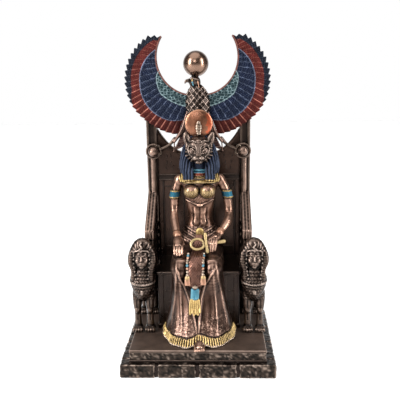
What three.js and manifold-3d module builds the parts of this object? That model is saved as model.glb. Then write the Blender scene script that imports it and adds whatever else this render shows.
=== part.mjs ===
// A lioness-headed goddess enthroned, a cold-cast bronze table figure: she sits with an ankh between two
// sphinxes, under a falcon with raised wings, on a stepped plinth of rough stone blocks.
// Millimetres, +Z up, +Y to the back, origin at the middle of the underside.
import * as THREE from "three";
import { mergeVertices } from "three/addons/utils/BufferGeometryUtils.js";
import Module from "manifold-3d";

const wasm = await Module();
wasm.setup();

// Clearances
const SEAT_GAP = 0.3; // between pieces that rest on or against each other

// Plinth: a course of rough blocks with a smooth step on it
const PLINTH_WIDTH = 127;
const PLINTH_DEPTH = 112;
const PLINTH_HEIGHT = 12;
const BLOCK_JOINT = 1.8;
const BLOCK_JOINT_DEPTH = 1.6;
const BLOCK_ROUGHNESS = 0.75;
const BLOCK_CHAMFER = 0.6;
const STEP_LAP = 3; // how far the step's foot covers the blocks
const STEP_WIDTH = 112;
const STEP_DEPTH = 103;
const STEP_HEIGHT = 10.2;
const STEP_LIP = 0.8;

// Throne
const BACK_WIDTH = 93.2;
const BACK_HEIGHT = 181; // posts, above the step
const BACK_THICKNESS = 12;
const BACK_INSET = 5; // from the step's rear edge
const POST_WIDTH = 9.4;
const PANEL_THICKNESS = 6;
const PANEL_INSET = 4;
const PANEL_TOP = 171; // the panel's upper edge at its shoulders, above the step
const PANEL_DIP = 23.5; // how far that edge dips at the middle
const RAIL_LEVEL = 123.5;
const RAIL_HEIGHT = 6;
const SEAT_HEIGHT = 52;
const SEAT_WIDTH = 72;
const SEAT_DEPTH = 44.5; // forward of the posts' front face
const ARM_WIDTH = 8.2;
const ARM_THICKNESS = 6;
const ARM_BACK_HEIGHT = 116; // top of the arm at the post, above the step
const ARM_FRONT_HEIGHT = 87.3;
const ARM_LENGTH = 36.5; // forward of the posts' front face, to just behind the sphinxes' heads
const POLE_RADIUS = 2.9;
const BALL_RADIUS = 4.7;
const BALL_LEVEL = 151.3;
const BALL_STANDOFF = 6.5; // ball's centre, forward of the posts' front face

// Sphinxes
const SPHINX_HEIGHT = 82.5;
const SPHINX_BACK_HEIGHT = 48;
const SPHINX_LENGTH = 52;
const SPHINX_SPACING = 95; // between the two centre lines
const SPHINX_FRONT = 19.5; // toes, forward of the plinth's middle

// Goddess
const GODDESS_HEIGHT = 188.6; // from the soles to the top of the sun disc
const GODDESS_OFFSET = 1.5; // to her left of the throne's middle
const TOE_OVERHANG = 4;

// Falcon
const WING_OUTER_RADIUS = 43.8;
const WING_INNER_RADIUS = 31.9;
const WING_CENTRE_SPAN = 40.6;
const WING_THICKNESS = 3;
const FEATHERS = 24;
const FIRST_FEATHER = 75; // degrees above level, at the wing's tip
const LAST_FEATHER = -93; // at the tail
const ARC_END = 60; // degrees from level, past which the wing's outline leaves its arc
const TIP_TAPER = 0.352; // drawn in toward the tip for each degree past there
const ROOT_SPREAD = 0.117; // let out toward the tail for each degree past there
const FEATHER_NOTCH = 2.6;
const FALCON_LEVEL = 213.4; // centre of the wings' outer arcs, above the step
const ORB_RADIUS = 10.8;
const TAIL_WIDTH = 45;
const TALON_RING_RADIUS = 6.3;
const TALON_RING_THICKNESS = 1;

// Places worked out from the dimensions above
const stepTop = PLINTH_HEIGHT + STEP_HEIGHT;
const standing = stepTop + SEAT_GAP;
const postRear = STEP_DEPTH / 2 - BACK_INSET;
const postFront = postRear - BACK_THICKNESS;
const panelFront = postFront + PANEL_INSET;
const seatFront = postFront - SEAT_DEPTH;
const seatTop = stepTop + SEAT_HEIGHT;
const postMiddle = BACK_WIDTH / 2 - POST_WIDTH / 2;
const innerHalf = BACK_WIDTH / 2 - POST_WIDTH;
const armMiddle = BACK_WIDTH / 2 - ARM_WIDTH / 2 - 0.2;
const poleOffset = innerHalf + POLE_RADIUS + 0.8;
const ballCentre = new THREE.Vector3(poleOffset - 1, postFront - BALL_STANDOFF, stepTop + BALL_LEVEL);
const armPanelLow = standing + SPHINX_BACK_HEIGHT + SEAT_GAP;
const wingRear = postFront - SEAT_GAP;

// Shaping helpers
const V = (x, y, z) => new THREE.Vector3(x, y, z);

// The volume inside a closed, indexed geometry, negative where its faces point inwards
function signedVolume(geometry) {
  const at = geometry.attributes.position;
  const corner = (k) => V(0, 0, 0).fromBufferAttribute(at, geometry.index.getX(k));
  let volume = 0;
  for (let k = 0; k < geometry.index.count; k += 3) {
    volume += corner(k).dot(corner(k + 1).cross(corner(k + 2))) / 6;
  }
  return volume;
}

function solid(geometry) {
  const bare = geometry.clone();
  bare.deleteAttribute("normal");
  bare.deleteAttribute("uv");
  const merged = mergeVertices(bare, 1e-4);
  const vertProperties = new Float32Array(merged.attributes.position.array);
  const triVerts = new Uint32Array(merged.index.array);
  if (signedVolume(merged) < 0) triVerts.reverse();
  return new wasm.Manifold(new wasm.Mesh({ numProp: 3, vertProperties, triVerts }));
}

function joined(solids) {
  return solids.reduce((whole, next) => whole.add(next));
}

function meshOf(name, made, material) {
  const { vertProperties, triVerts } = made.getMesh();
  const geometry = new THREE.BufferGeometry();
  geometry.setAttribute("position", new THREE.BufferAttribute(vertProperties, 3));
  geometry.setIndex(new THREE.BufferAttribute(triVerts, 1));
  const mesh = new THREE.Mesh(geometry, material);
  mesh.name = name;
  return mesh;
}

// A closed skin through rings of points that all have the same count.
function loft(rings) {
  const n = rings[0].length;
  const middle = (ring) => ring.reduce((sum, p) => sum.add(p), V(0, 0, 0)).divideScalar(n);
  const points = [...rings.flat(), middle(rings[0]), middle(rings.at(-1))];
  const first = rings.length * n;
  const top = first - n;
  const index = [];
  for (let i = 0; i < n; i++) {
    const j = (i + 1) % n;
    for (let k = 0; k < top; k += n) {
      index.push(k + i, k + j, k + n + j, k + i, k + n + j, k + n + i);
    }
    index.push(first, j, i, first + 1, top + i, top + j);
  }
  const geometry = new THREE.BufferGeometry().setFromPoints(points);
  geometry.setIndex(index);
  return solid(geometry);
}

// A level ring; roundness 1 is an ellipse and less is squarer.
function ring(z, [cx, cy], [rx, ry], sides = 12, roundness = 1) {
  const made = [];
  for (let i = 0; i < sides; i++) {
    const a = ((i + 0.5) / sides) * 2 * Math.PI;
    const c = Math.cos(a);
    const s = Math.sin(a);
    const x = Math.sign(c) * Math.abs(c) ** roundness;
    const y = Math.sign(s) * Math.abs(s) ** roundness;
    made.push(V(cx + rx * x, cy + ry * y, z));
  }
  return made;
}

// A limb through points, with a radius or a pair of radii at each.
function limb(points, radii, sides = 8, steps = points.length * 2 - 2) {
  const curve = new THREE.CatmullRomCurve3(points, false, "centripetal");
  const pairs = radii.map((radius) => [radius, radius].flat().slice(0, 2));
  const rings = [];
  let side = V(1, 0, 0);
  for (let k = 0; k <= steps; k++) {
    const t = k / steps;
    const along = curve.getTangent(t);
    if (Math.abs(along.dot(side)) > 0.95) side = V(0, 1, 0);
    side = side.clone().addScaledVector(along, -side.dot(along)).normalize();
    const up = along.clone().cross(side);
    const at = t * (radii.length - 1);
    const lower = Math.min(Math.floor(at), radii.length - 2);
    const blend = (which) => {
      return THREE.MathUtils.lerp(pairs[lower][which], pairs[lower + 1][which], at - lower);
    };
    const centre = curve.getPoint(t);
    const made = [];
    for (let i = 0; i < sides; i++) {
      const a = (i / sides) * 2 * Math.PI;
      made.push(
        centre
          .clone()
          .addScaledVector(side, blend(0) * Math.cos(a))
          .addScaledVector(up, blend(1) * Math.sin(a)),
      );
    }
    rings.push(made);
  }
  return loft(rings);
}

function blob([x, y, z], [rx, ry, rz], around = 10, down = 7) {
  return solid(new THREE.SphereGeometry(1, around, down).scale(rx, ry, rz).translate(x, y, z));
}

function box([x0, y0, z0], [x1, y1, z1]) {
  const block = new THREE.BoxGeometry(x1 - x0, y1 - y0, z1 - z0);
  return solid(block.translate((x0 + x1) / 2, (y0 + y1) / 2, (z0 + z1) / 2));
}

// A flat shape drawn in X and Z, standing between two depths.
function plate(points, yFront, yRear) {
  const shape = new THREE.Shape(points.map(([x, z]) => new THREE.Vector2(x, z)));
  const flat = new THREE.ExtrudeGeometry(shape, { depth: yRear - yFront, bevelEnabled: false });
  return solid(flat.rotateX(Math.PI / 2).translate(0, yRear, 0));
}

// A flat shape drawn in Y and Z, standing between two X places.
function sidePlate(points, x0, x1) {
  const shape = new THREE.Shape(points.map(([y, z]) => new THREE.Vector2(y, z)));
  const turn = new THREE.Matrix4().makeBasis(V(0, 1, 0), V(0, 0, 1), V(1, 0, 0));
  const flat = new THREE.ExtrudeGeometry(shape, { depth: x1 - x0, bevelEnabled: false });
  return solid(flat.applyMatrix4(turn).translate(x0, 0, 0));
}

function torus(centre, radius, thickness, around = 12, sides = 6) {
  const upright = new THREE.TorusGeometry(radius, thickness, sides, around).rotateX(Math.PI / 2);
  return solid(upright.translate(...centre.toArray()));
}

const both = (make) => [make(-1), make(1)];

// A repeatable scatter from -1 to 1
function scatter(seed) {
  const x = Math.sin(seed * 127.1 + 11.7) * 43758.5453;
  return 2 * (x - Math.floor(x)) - 1;
}

// Plinth
function roughBlock(x0, x1, y0, y1, seed) {
  const across = x1 - x0 > y1 - y0 ? 2 : 1;
  const bare = new THREE.BoxGeometry(x1 - x0, y1 - y0, PLINTH_HEIGHT, across, 3 - across, 2);
  bare.deleteAttribute("normal");
  bare.deleteAttribute("uv");
  const geometry = mergeVertices(bare, 1e-4);
  const at = geometry.attributes.position;
  for (let i = 0; i < at.count; i++) {
    const z = at.getZ(i);
    const atRim = Math.abs(z) > PLINTH_HEIGHT / 2 - 0.01;
    const bite = (BLOCK_ROUGHNESS / 2) * (1 + scatter(seed + i * 3.3)) + (atRim ? BLOCK_CHAMFER : 0);
    at.setX(i, at.getX(i) - Math.sign(at.getX(i)) * bite);
    at.setY(i, at.getY(i) - Math.sign(at.getY(i)) * bite);
    if (atRim && z > 0) at.setZ(i, z - (BLOCK_ROUGHNESS / 2) * (1 + scatter(seed + i * 7.7)));
  }
  geometry.translate((x0 + x1) / 2, (y0 + y1) / 2, PLINTH_HEIGHT / 2);
  return solid(geometry);
}

function plinth() {
  const halfWidth = PLINTH_WIDTH / 2;
  const halfDepth = PLINTH_DEPTH / 2;
  const border = (PLINTH_WIDTH - STEP_WIDTH) / 2 + STEP_LAP;
  const pieces = [
    box(
      [-halfWidth + BLOCK_JOINT_DEPTH, -halfDepth + BLOCK_JOINT_DEPTH, 0],
      [halfWidth - BLOCK_JOINT_DEPTH, halfDepth - BLOCK_JOINT_DEPTH, PLINTH_HEIGHT - 1],
    ),
  ];
  const acrossShares = [0, 0.236, 0.5, 0.757, 1];
  const deepShares = [0, 0.34, 0.68, 1];
  const gap = BLOCK_JOINT / 2;
  for (const [row, near] of [-halfDepth, halfDepth - border].entries()) {
    for (let i = 0; i < acrossShares.length - 1; i++) {
      const from = row ? 1 - acrossShares[acrossShares.length - 1 - i] : acrossShares[i];
      const to = row ? 1 - acrossShares[acrossShares.length - 2 - i] : acrossShares[i + 1];
      pieces.push(
        roughBlock(
          -halfWidth + from * PLINTH_WIDTH + (from > 0 ? gap : 0),
          -halfWidth + to * PLINTH_WIDTH - (to < 1 ? gap : 0),
          near,
          near + border,
          11 * i + 100 * row,
        ),
      );
    }
  }
  const run = PLINTH_DEPTH - 2 * border;
  for (const side of [0, 1]) {
    const x0 = side ? halfWidth - border : -halfWidth;
    for (let i = 0; i < deepShares.length - 1; i++) {
      const y0 = -halfDepth + border + deepShares[i] * run + gap;
      const y1 = -halfDepth + border + deepShares[i + 1] * run - gap;
      pieces.push(roughBlock(x0, x0 + border, y0, y1, 300 + 17 * i + 50 * side));
    }
  }
  const lip = STEP_LIP;
  const profile = [
    [0, PLINTH_HEIGHT - 2],
    [0, PLINTH_HEIGHT + 1.5],
    [lip, PLINTH_HEIGHT + 2.1],
    [lip, stepTop - 1.6],
    [lip * 0.4, stepTop - 1],
    [lip, stepTop],
  ];
  pieces.push(
    loft(
      profile.map(([inset, z]) => {
        const x = STEP_WIDTH / 2 - inset;
        const y = STEP_DEPTH / 2 - inset;
        return [V(x, -y, z), V(x, y, z), V(-x, y, z), V(-x, -y, z)];
      }),
    ),
  );
  return joined(pieces);
}

// Throne
function panelEdge(x) {
  return stepTop + PANEL_TOP - PANEL_DIP * (1 - Math.abs(x / innerHalf) ** 2.8);
}

function backPanel() {
  const steps = 16;
  const outline = [];
  for (let i = 0; i <= steps; i++) {
    const x = innerHalf + 1 - (2 * (innerHalf + 1) * i) / steps;
    outline.push([x, panelEdge(THREE.MathUtils.clamp(x, -innerHalf, innerHalf))]);
  }
  outline.push([-innerHalf - 1, standing], [innerHalf + 1, standing]);
  const panel = plate(outline, panelFront, panelFront + PANEL_THICKNESS);
  const railBottom = stepTop + RAIL_LEVEL;
  const rails = [
    [railBottom, railBottom + 1.4],
    [railBottom + RAIL_HEIGHT - 1.4, railBottom + RAIL_HEIGHT],
  ].map(([low, high]) =>
    box([-innerHalf - 1, panelFront - 1.2, low], [innerHalf + 1, panelFront + 1, high]),
  );
  const band = box(
    [-innerHalf - 1, panelFront - 0.6, railBottom],
    [innerHalf + 1, panelFront + 1, railBottom + RAIL_HEIGHT],
  );
  const stiles = both((side) => {
    const x = side * (innerHalf - 4.5);
    return box([x - 1, panelFront - 0.8, seatTop - 2], [x + 1, panelFront + 1, railBottom + 1]);
  });
  const panelRear = panelFront + PANEL_THICKNESS;
  const rearFrame = [20, 132].map((level) =>
    box(
      [-innerHalf + 5, panelRear - 1, stepTop + level],
      [innerHalf - 5, panelRear + 1, stepTop + level + 4],
    ),
  );
  return [panel, band, ...rails, ...stiles, ...rearFrame];
}

function post(side) {
  const x = side * postMiddle;
  const half = POST_WIDTH / 2;
  const top = stepTop + BACK_HEIGHT;
  const shaft = loft(
    [
      [standing, 0],
      [top - 2, 0],
      [top, 0.8],
    ].map(([z, inset]) => [
      V(x + half - inset, postFront + inset, z),
      V(x + half - inset, postRear - inset, z),
      V(x - half + inset, postRear - inset, z),
      V(x - half + inset, postFront + inset, z),
    ]),
  );
  const armTop = stepTop + ARM_BACK_HEIGHT - 4;
  const pole = limb(
    [V(side * poleOffset, postFront - 0.4, armTop), V(side * poleOffset, postFront - 0.4, ballCentre.z)],
    [POLE_RADIUS, POLE_RADIUS],
    6,
    1,
  );
  const stalk = limb(
    [V(side * poleOffset, postFront, ballCentre.z - 1), V(side * ballCentre.x, ballCentre.y, ballCentre.z)],
    [2, 2.2],
    6,
    1,
  );
  const ball = blob(
    [side * ballCentre.x, ballCentre.y, ballCentre.z],
    [BALL_RADIUS, BALL_RADIUS, BALL_RADIUS],
    8,
    6,
  );
  return [shaft, pole, stalk, ball];
}

// An arm slopes down from the post, with three reeds on it and a panel under it.
function arm(side) {
  const backZ = stepTop + ARM_BACK_HEIGHT;
  const frontZ = stepTop + ARM_FRONT_HEIGHT;
  const half = ARM_WIDTH / 2;
  const yRear = postFront + 1;
  const yFront = postFront - ARM_LENGTH;
  const section = [];
  const reeds = 3;
  for (let r = 0; r < reeds; r++) {
    const centre = half - (ARM_WIDTH * (r + 0.5)) / reeds;
    for (const turn of [0, 1, 2, 3]) {
      const a = (turn / 4) * Math.PI;
      section.push([centre + (half / reeds) * Math.cos(a), (half / reeds) * Math.sin(a)]);
    }
  }
  section.push([-half, -ARM_THICKNESS], [half, -ARM_THICKNESS]);
  const ends = [
    [yFront, frontZ],
    [yRear, backZ],
  ].map(([y, z]) => section.map(([x, dz]) => V(side * armMiddle + x, y, z - half / reeds + dz)));
  const middle = side * armMiddle;
  const panel = sidePlate(
    [
      [yRear, armPanelLow],
      [yRear, backZ - ARM_THICKNESS / 2],
      [yFront + 2, frontZ - ARM_THICKNESS / 2],
      [yFront + 2, armPanelLow],
    ],
    middle - half + 0.8,
    middle + half - 0.8,
  );
  return [loft(ends), panel];
}

function seat() {
  const half = SEAT_WIDTH / 2;
  const block = box([-half + 0.8, seatFront + 1, standing], [half - 0.8, panelFront + 1, seatTop]);
  const edge = box([-half, seatFront, seatTop - 3], [half, panelFront + 1, seatTop]);
  const foot = box([-half, seatFront, standing], [half, panelFront + 1, stepTop + 4]);
  const recesses = [];
  const bays = 7;
  const bay = (SEAT_WIDTH - 8) / bays;
  for (let i = 0; i < bays; i++) {
    const x = -half + 4 + bay * (i + 0.5);
    const wide = bay * 0.3;
    recesses.push(box([x - wide, seatFront - 1, stepTop + 8], [x + wide, seatFront + 2, seatTop - 6]));
  }
  return joined([block, edge, foot]).subtract(joined(recesses));
}

function throne() {
  return joined([
    seat(),
    ...backPanel(),
    ...both(post).flat(),
    ...both(arm).flat(),
  ]);
}

// Sphinx: drawn at 82.5 high and 52 long, standing on zero, facing forward along -Y
function sphinx(side) {
  const u = SPHINX_HEIGHT / 82.5;
  const v = SPHINX_LENGTH / 52;
  const P = (x, y, z) => V(x * u, y * v, z * u);
  const level = ([z, y, rx, ry]) => ring(z * u, [0, y * v], [rx * u, ry * v], 8);
  const body = limb(
    [P(0, 6, 37), P(0, 14, 38), P(0, 26, 37.6), P(0, 38, 37), P(0, 45, 36), P(0, 49, 32)],
    [
      [6, 8],
      [8.2, 9.6],
      [7.4, 9],
      [7.4, 9],
      [8, 9.8],
      [5, 7],
    ],
    7,
    4,
  );
  const chest = loft(
    [
      [27, 8.4, 5.4, 4.4],
      [33, 7, 7.6, 6.4],
      [39, 6.2, 9.8, 7.2],
      [45, 6.6, 11.2, 7.4],
      [50, 8, 10.6, 6.8],
      [57, 8.6, 5, 4.6],
    ].map(level),
  );
  const paw = (x, y, rx, ry) =>
    loft([
      ring(0, [x * u, y * v], [rx * u, ry * v], 6, 0.7),
      ring(2.6 * u, [x * u, y * v], [rx * u, ry * v], 6, 0.7),
      ring(5.2 * u, [x * u, (y + 1.8) * v], [0.72 * rx * u, 0.62 * ry * v], 6, 0.8),
    ]);
  const foreleg = (at) => [
    limb(
      [P(at * 5.2, 8, 34), P(at * 5.4, 6.8, 25), P(at * 5.4, 7, 15), P(at * 5.3, 6.5, 4)],
      [[4, 5], [3.4, 4.2], [2.7, 3], [2.9, 3.2]],
      5,
      3,
    ),
    paw(at * 5.3, 4.9, 4.4, 5),
  ];
  const hindleg = (at) => [
    limb(
      [P(at * 5, 43, 36), P(at * 5.6, 41, 27), P(at * 5.4, 46, 17), P(at * 5.2, 47, 4)],
      [[4, 7], [4, 7], [2.8, 3.6], [2.6, 3]],
      5,
      3,
    ),
    paw(at * 5.2, 44, 3.8, 5.6),
  ];
  const face = loft(
    [
      [56.6, 3.6, 2.2, 2],
      [58.4, 4.2, 4.2, 3.8],
      [62.6, 4.8, 6.2, 4.9],
      [70, 6.2, 6.4, 5.4],
    ].map(level),
  );
  const nose = loft([
    [P(0.9, 0.4, 63.2), P(0, 2, 62.8), P(-0.9, 0.4, 63.2), P(0, -1.3, 63.6)],
    [P(0.5, 0.6, 67.4), P(0, 2, 67.4), P(-0.5, 0.6, 67.4), P(0, -0.1, 67.4)],
  ]);
  // The headcloth is widest beside the face and narrows to the shoulders, in steps for its pleats.
  const cloth = loft(
    [
      [47, 9.8, 10.8, 5],
      [52, 9.8, 11.6, 5.8],
      [57.4, 9.8, 13.2, 6.5],
      [58, 9.8, 14, 6.9],
      [64, 9.8, 14.4, 7],
      [72, 9.8, 12, 7],
      [78.5, 9.8, 8, 5.6],
      [82.5, 9.8, 2.8, 2.4],
    ].map(level),
  );
  const lappetRing = (x, half, front, rear, z) =>
    [P(x + half, front, z), P(x + half, rear, z), P(x - half, rear, z), P(x - half, front, z)];
  const lappets = both((at) =>
    loft([
      lappetRing(at * 7.6, 2.4, 0.2, 5, 47),
      lappetRing(at * 8, 3, 1.2, 7, 56),
      lappetRing(at * 8.8, 2.6, 3.6, 9, 61),
    ]),
  );
  const collar = limb(
    [P(-9.8, 6, 45.6), P(-6, 0.2, 44.2), P(0, -1.9, 43.2), P(6, 0.2, 44.2), P(9.8, 6, 45.6)],
    [1, 1],
    4,
    4,
  );
  const pendant = blob([0, -0.9 * v, 36.6 * u], [1.6 * u, 1.3 * v, 2.6 * u], 4, 3);
  const tail = limb(
    [P(side * 2, 50.1, 36), P(side * 5, 50.1, 27), P(side * 6.8, 49, 19), P(side * 7.6, 46, 13)],
    [1.2, 1.2, 1.1, 1.7],
    4,
    3,
  );
  const nearArm = postFront - ARM_LENGTH - SEAT_GAP + SPHINX_FRONT;
  const reach = 60;
  const armCut = box(
    [-reach, nearArm, SPHINX_BACK_HEIGHT],
    [reach, nearArm + reach, SPHINX_BACK_HEIGHT + reach],
  );
  return joined([
    body,
    chest,
    ...both(foreleg).flat(),
    ...both(hindleg).flat(),
    face,
    nose,
    cloth,
    ...lappets,
    collar,
    pendant,
    tail,
  ]).subtract(armCut);
}

// Goddess: drawn 188.6 high from zero at the soles, with Y as in the whole part
const goddessScale = GODDESS_HEIGHT / 188.6;
const G = (x, y, z) => V(x * goddessScale, y * goddessScale, z * goddessScale);

function goddessRing(z, centre, radii, sides, roundness) {
  return ring(z, centre, radii, sides, roundness).map((p) => p.multiplyScalar(goddessScale));
}

function gBlob(centre, radii, around, down) {
  const scaled = (list) => list.map((value) => value * goddessScale);
  return blob(scaled(centre), scaled(radii), around, down);
}

function gLimb(points, radii, sides, steps) {
  const scaled = (entry) => [entry].flat().map((r) => r * goddessScale);
  return limb(points.map((p) => G(...p)), radii.map(scaled), sides, steps);
}

function torso() {
  const rows = [
    [44, 12, 19, 13],
    [66, 12, 19.5, 14.5],
    [76, 13, 18, 12.5],
    [85, 13, 14.6, 10.2],
    [95, 13, 11, 8],
    [108, 13, 12.8, 8.7],
    [123, 13, 15.8, 9.2],
    [129, 13.5, 17.6, 7.8],
    [132.5, 14, 13.5, 6.3],
    [145, 12, 5.6, 5.6],
  ];
  const trunk = loft(rows.map(([z, y, rx, ry]) => goddessRing(z, [0, y], [rx, ry], 10)));
  const breasts = both((side) => gBlob([side * 7, 5.2, 119.4], [7.2, 6.6, 6.4], 7, 5));
  const collar = loft([
    goddessRing(125.5, [0, 12], [11.5, 9.6], 10),
    goddessRing(131, [0, 12.4], [11, 8.4], 10),
    goddessRing(137, [0, 12], [6.6, 6.6], 10),
  ]);
  const belt = loft([
    goddessRing(78.5, [0, 12.4], [18.4, 13.4], 10),
    goddessRing(84, [0, 12.6], [16.9, 12], 10),
  ]);
  const buckle = gBlob([0, -0.6, 84.5], [3.8, 1.8, 4.1], 7, 5);
  return [trunk, ...breasts, collar, belt, buckle];
}

function lionessHead() {
  const skull = gBlob([0, 8.6, 156.6], [11.2, 10.6, 10.8], 9, 6);
  const cheeks = gBlob([0, 4.4, 151.6], [10.8, 6.2, 6.6], 8, 6);
  const muzzle = gLimb(
    [
      [0, 5, 154.6],
      [0, -1.4, 151.4],
      [0, -5.4, 148.6],
    ],
    [7, 5.8, 4.3],
    8,
    2,
  );
  const bridge = gLimb(
    [
      [0, 1.5, 161],
      [0, -2.8, 156.4],
      [0, -6.4, 152.2],
    ],
    [3, 2.4, 1.9],
    6,
    2,
  );
  const ears = both((side) =>
    loft(
      [
        [161, 9.6, 7.8, 3.8, 2.4],
        [166, 11, 7.6, 3.4, 2],
        [169.8, 11.8, 7.4, 1.5, 1.1],
      ].map(([z, x, y, rx, ry]) => goddessRing(z, [side * x, y], [rx, ry], 6)),
    ),
  );
  return [skull, cheeks, muzzle, bridge, ...ears];
}

function wig() {
  const rows = [
    [127.5, 18, 14.6, 6.6],
    [134, 17, 17, 8.6],
    [142, 16, 17.8, 10.2],
    [153, 15.6, 15.4, 10.4],
    [162, 15.8, 11.4, 8.4],
    [166.5, 16, 6, 5],
  ];
  const strands = 12;
  const grooveDepth = 0.035;
  const mass = loft(
    rows.map(([z, y, rx, ry]) => {
      const middle = G(0, y, z);
      return goddessRing(z, [0, y], [rx, ry], strands).map((p, i) =>
        i % 2 ? p : p.lerp(middle, grooveDepth),
      );
    }),
  );
  const lappets = both((side) =>
    loft(
      [
        [131.4, 11.3, 2.6, 4.8, 2.6],
        [140, 11.8, 4, 4.7, 3.6],
        [149, 12.4, 7.4, 3.6, 4.4],
        [156, 11.6, 10, 2.4, 4],
      ].map(([z, x, y, rx, ry]) => goddessRing(z, [side * x, y], [rx, ry], 8, 0.7)),
    ),
  );
  return [mass, ...lappets];
}

function sunDisc() {
  const radius = 11.8 * goddessScale;
  const thick = 3.2 * goddessScale;
  const profile = [
    [0, -thick],
    [0.7, -0.78 * thick],
    [1, 0],
    [0, 0.9 * thick],
  ].map(([share, depth]) => new THREE.Vector2(share * radius, depth));
  const centre = G(0, 10, 176.8);
  const placed = solid(new THREE.LatheGeometry(profile, 14).translate(...centre.toArray()));
  const crown = loft([
    goddessRing(162, [0, 9], [6, 5.6], 6),
    goddessRing(168.4, [0, 9.4], [5, 4], 6),
  ]);
  const cobra = gLimb(
    [
      [0, 4.4, 166],
      [0, 5.4, 169.6],
      [0, 6.2, 173.4],
      [0, 5.8, 176.6],
      [0, 4.6, 178.4],
    ],
    [[1.4, 1.3], [2.4, 1.3], [2.8, 1.2], [1.9, 1.3], [1, 0.9]],
    5,
    4,
  );
  return [placed, crown, cobra];
}

// side -1 is the arm on the viewer's left, whose hand lies on the thigh
function arms() {
  const left = [
    [-17.8, 13.5, 128],
    [-21, 13, 118],
    [-22.6, 12.6, 102],
    [-21.8, 4, 92],
    [-18.8, -8, 83.4],
  ];
  const right = [
    [17.5, 13.5, 128.5],
    [22.7, 13, 118],
    [25.4, 12.6, 100],
    [23.6, 3, 92.5],
    [17.4, -6, 85.5],
  ];
  const radii = [4.6, 4.1, 3.8, 3.9, 2.7];
  const armlet = (a, b) => gLimb([a, b], [5, 5], 6, 1);
  return [
    gLimb(left, radii, 6, 4),
    gLimb(right, radii, 6, 4),
    ...both((side) => gBlob([side * 17.6, 13.5, 128.4], [5.4, 5, 5], 6, 5)),
    armlet([-21.3, 13, 118.5], [-22, 13, 113.4]),
    armlet([23, 13, 118.6], [24.4, 13, 113.6]),
    gLimb([[-19.8, -4.6, 86.2], [-18.6, -8.2, 83]], [3.9, 3.7], 6, 1),
    gLimb([[19.4, -2.6, 88.1], [16.6, -7.6, 84.6]], [3.6, 3.4], 6, 1),
  ];
}

// Four fingers side by side, each drawn from the middle one's places
function fingers(places, spread, radii) {
  return [-1.5, -0.5, 0.5, 1.5].map((step) =>
    gLimb(
      places.map(([x, y, z], k) => [x + step * spread * (1 - 0.06 * k), y, z]),
      radii,
      4,
      2,
    ),
  );
}

function hands() {
  const restingPalm = gLimb(
    [
      [-18.6, -8, 83.2],
      [-18, -13.6, 80],
      [-17.6, -17.6, 77.4],
    ],
    [[3.2, 2.2], [4.4, 2], [4.4, 1.7]],
    6,
    2,
  );
  const resting = fingers(
    [
      [-17.6, -16.8, 78],
      [-17.4, -21.6, 75.6],
      [-17.2, -24.8, 70.8],
    ],
    2.1,
    [1.3, 1.25, 0.9],
  );
  const holdingPalm = gLimb(
    [
      [16.8, -7, 85],
      [13.4, -11.5, 82.4],
      [11, -15, 79.6],
    ],
    [[2.6, 2.8], [4.2, 2.4], [4, 2.2]],
    6,
    2,
  );
  const holding = fingers(
    [
      [10.8, -14.8, 81.2],
      [9.6, -18.6, 79],
      [9, -18.8, 73.4],
    ],
    2,
    [1.3, 1.25, 0.95],
  );
  const thumbs = [
    gLimb([[-15.6, -11.5, 81.4], [-13.2, -16.4, 78]], [1.4, 1.1], 4, 1),
    gLimb([[13.6, -12.6, 84], [8.2, -17, 82.2]], [1.5, 1.1], 4, 1),
  ];
  return [restingPalm, ...resting, holdingPalm, ...holding, ...thumbs];
}

// The ankh's loop leans back on the lap and lies to the left, its stem running through the hand.
function ankh() {
  const steps = 10;
  const sides = 4;
  const lean = 0.55;
  const thickness = 1.1 * goddessScale;
  const rings = [];
  for (let k = 0; k < steps; k++) {
    const a = (k / steps) * 2 * Math.PI;
    const rise = 3.7 * Math.sin(a);
    const centre = G(-1.4 + 5.6 * Math.cos(a), -19.8 + rise * lean, 79.4 + rise);
    const out = V(Math.cos(a), Math.sin(a) * lean, Math.sin(a)).normalize();
    const across = V(0, 1, -lean).normalize();
    const made = [];
    for (let i = 0; i < sides; i++) {
      const b = (i / sides) * 2 * Math.PI;
      made.push(
        centre
          .clone()
          .addScaledVector(out, thickness * Math.cos(b))
          .addScaledVector(across, thickness * Math.sin(b)),
      );
    }
    rings.push(made);
  }
  const index = [];
  for (let k = 0; k < steps; k++) {
    const next = (k + 1) % steps;
    for (let i = 0; i < sides; i++) {
      const j = (i + 1) % sides;
      const [a, b, c, d] = [k * sides + i, k * sides + j, next * sides + j, next * sides + i];
      index.push(a, b, c, a, c, d);
    }
  }
  const loop = new THREE.BufferGeometry().setFromPoints(rings.flat());
  loop.setIndex(index);
  const crossbar = gLimb(
    [
      [5, -18, 86.2],
      [5.9, -20.6, 80],
      [6.8, -21, 73.4],
    ],
    [[1.6, 1], [1.1, 1], [1.5, 1]],
    6,
    2,
  );
  const stem = gLimb(
    [
      [3.6, -19.8, 79.8],
      [13, -16.4, 79.6],
      [22.4, -13, 80],
    ],
    [1.3, 1.3, 1.8],
    6,
    2,
  );
  return [solid(loop), crossbar, stem];
}

// The knees are turned a little to her right.
function lap() {
  const thigh = (hipX, kneeX) =>
    gLimb(
      [
        [hipX, 13, 64],
        [(hipX + kneeX) / 2, -4, 63.5],
        [kneeX, -23, 61.5],
        [kneeX - 0.2, -26.5, 54],
        [kneeX - 0.2, -24, 46],
      ],
      [[10.5, 11.5], [9.4, 10.4], [7.8, 8.2], [6, 6.4], [4, 4]],
      8,
      4,
    );
  const between = gLimb(
    [
      [-1, 12, 62],
      [-2, -6, 62],
      [-2.6, -24, 59],
    ],
    [[12, 9.5], [13.6, 8.6], [13, 7.4]],
    8,
    2,
  );
  const pelvis = box(
    [-17 * goddessScale, -9 * goddessScale, 40 * goddessScale],
    [17 * goddessScale, 22 * goddessScale, 60 * goddessScale],
  );
  return [thigh(-10, -15.8), thigh(9, 11), between, pelvis];
}

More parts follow.
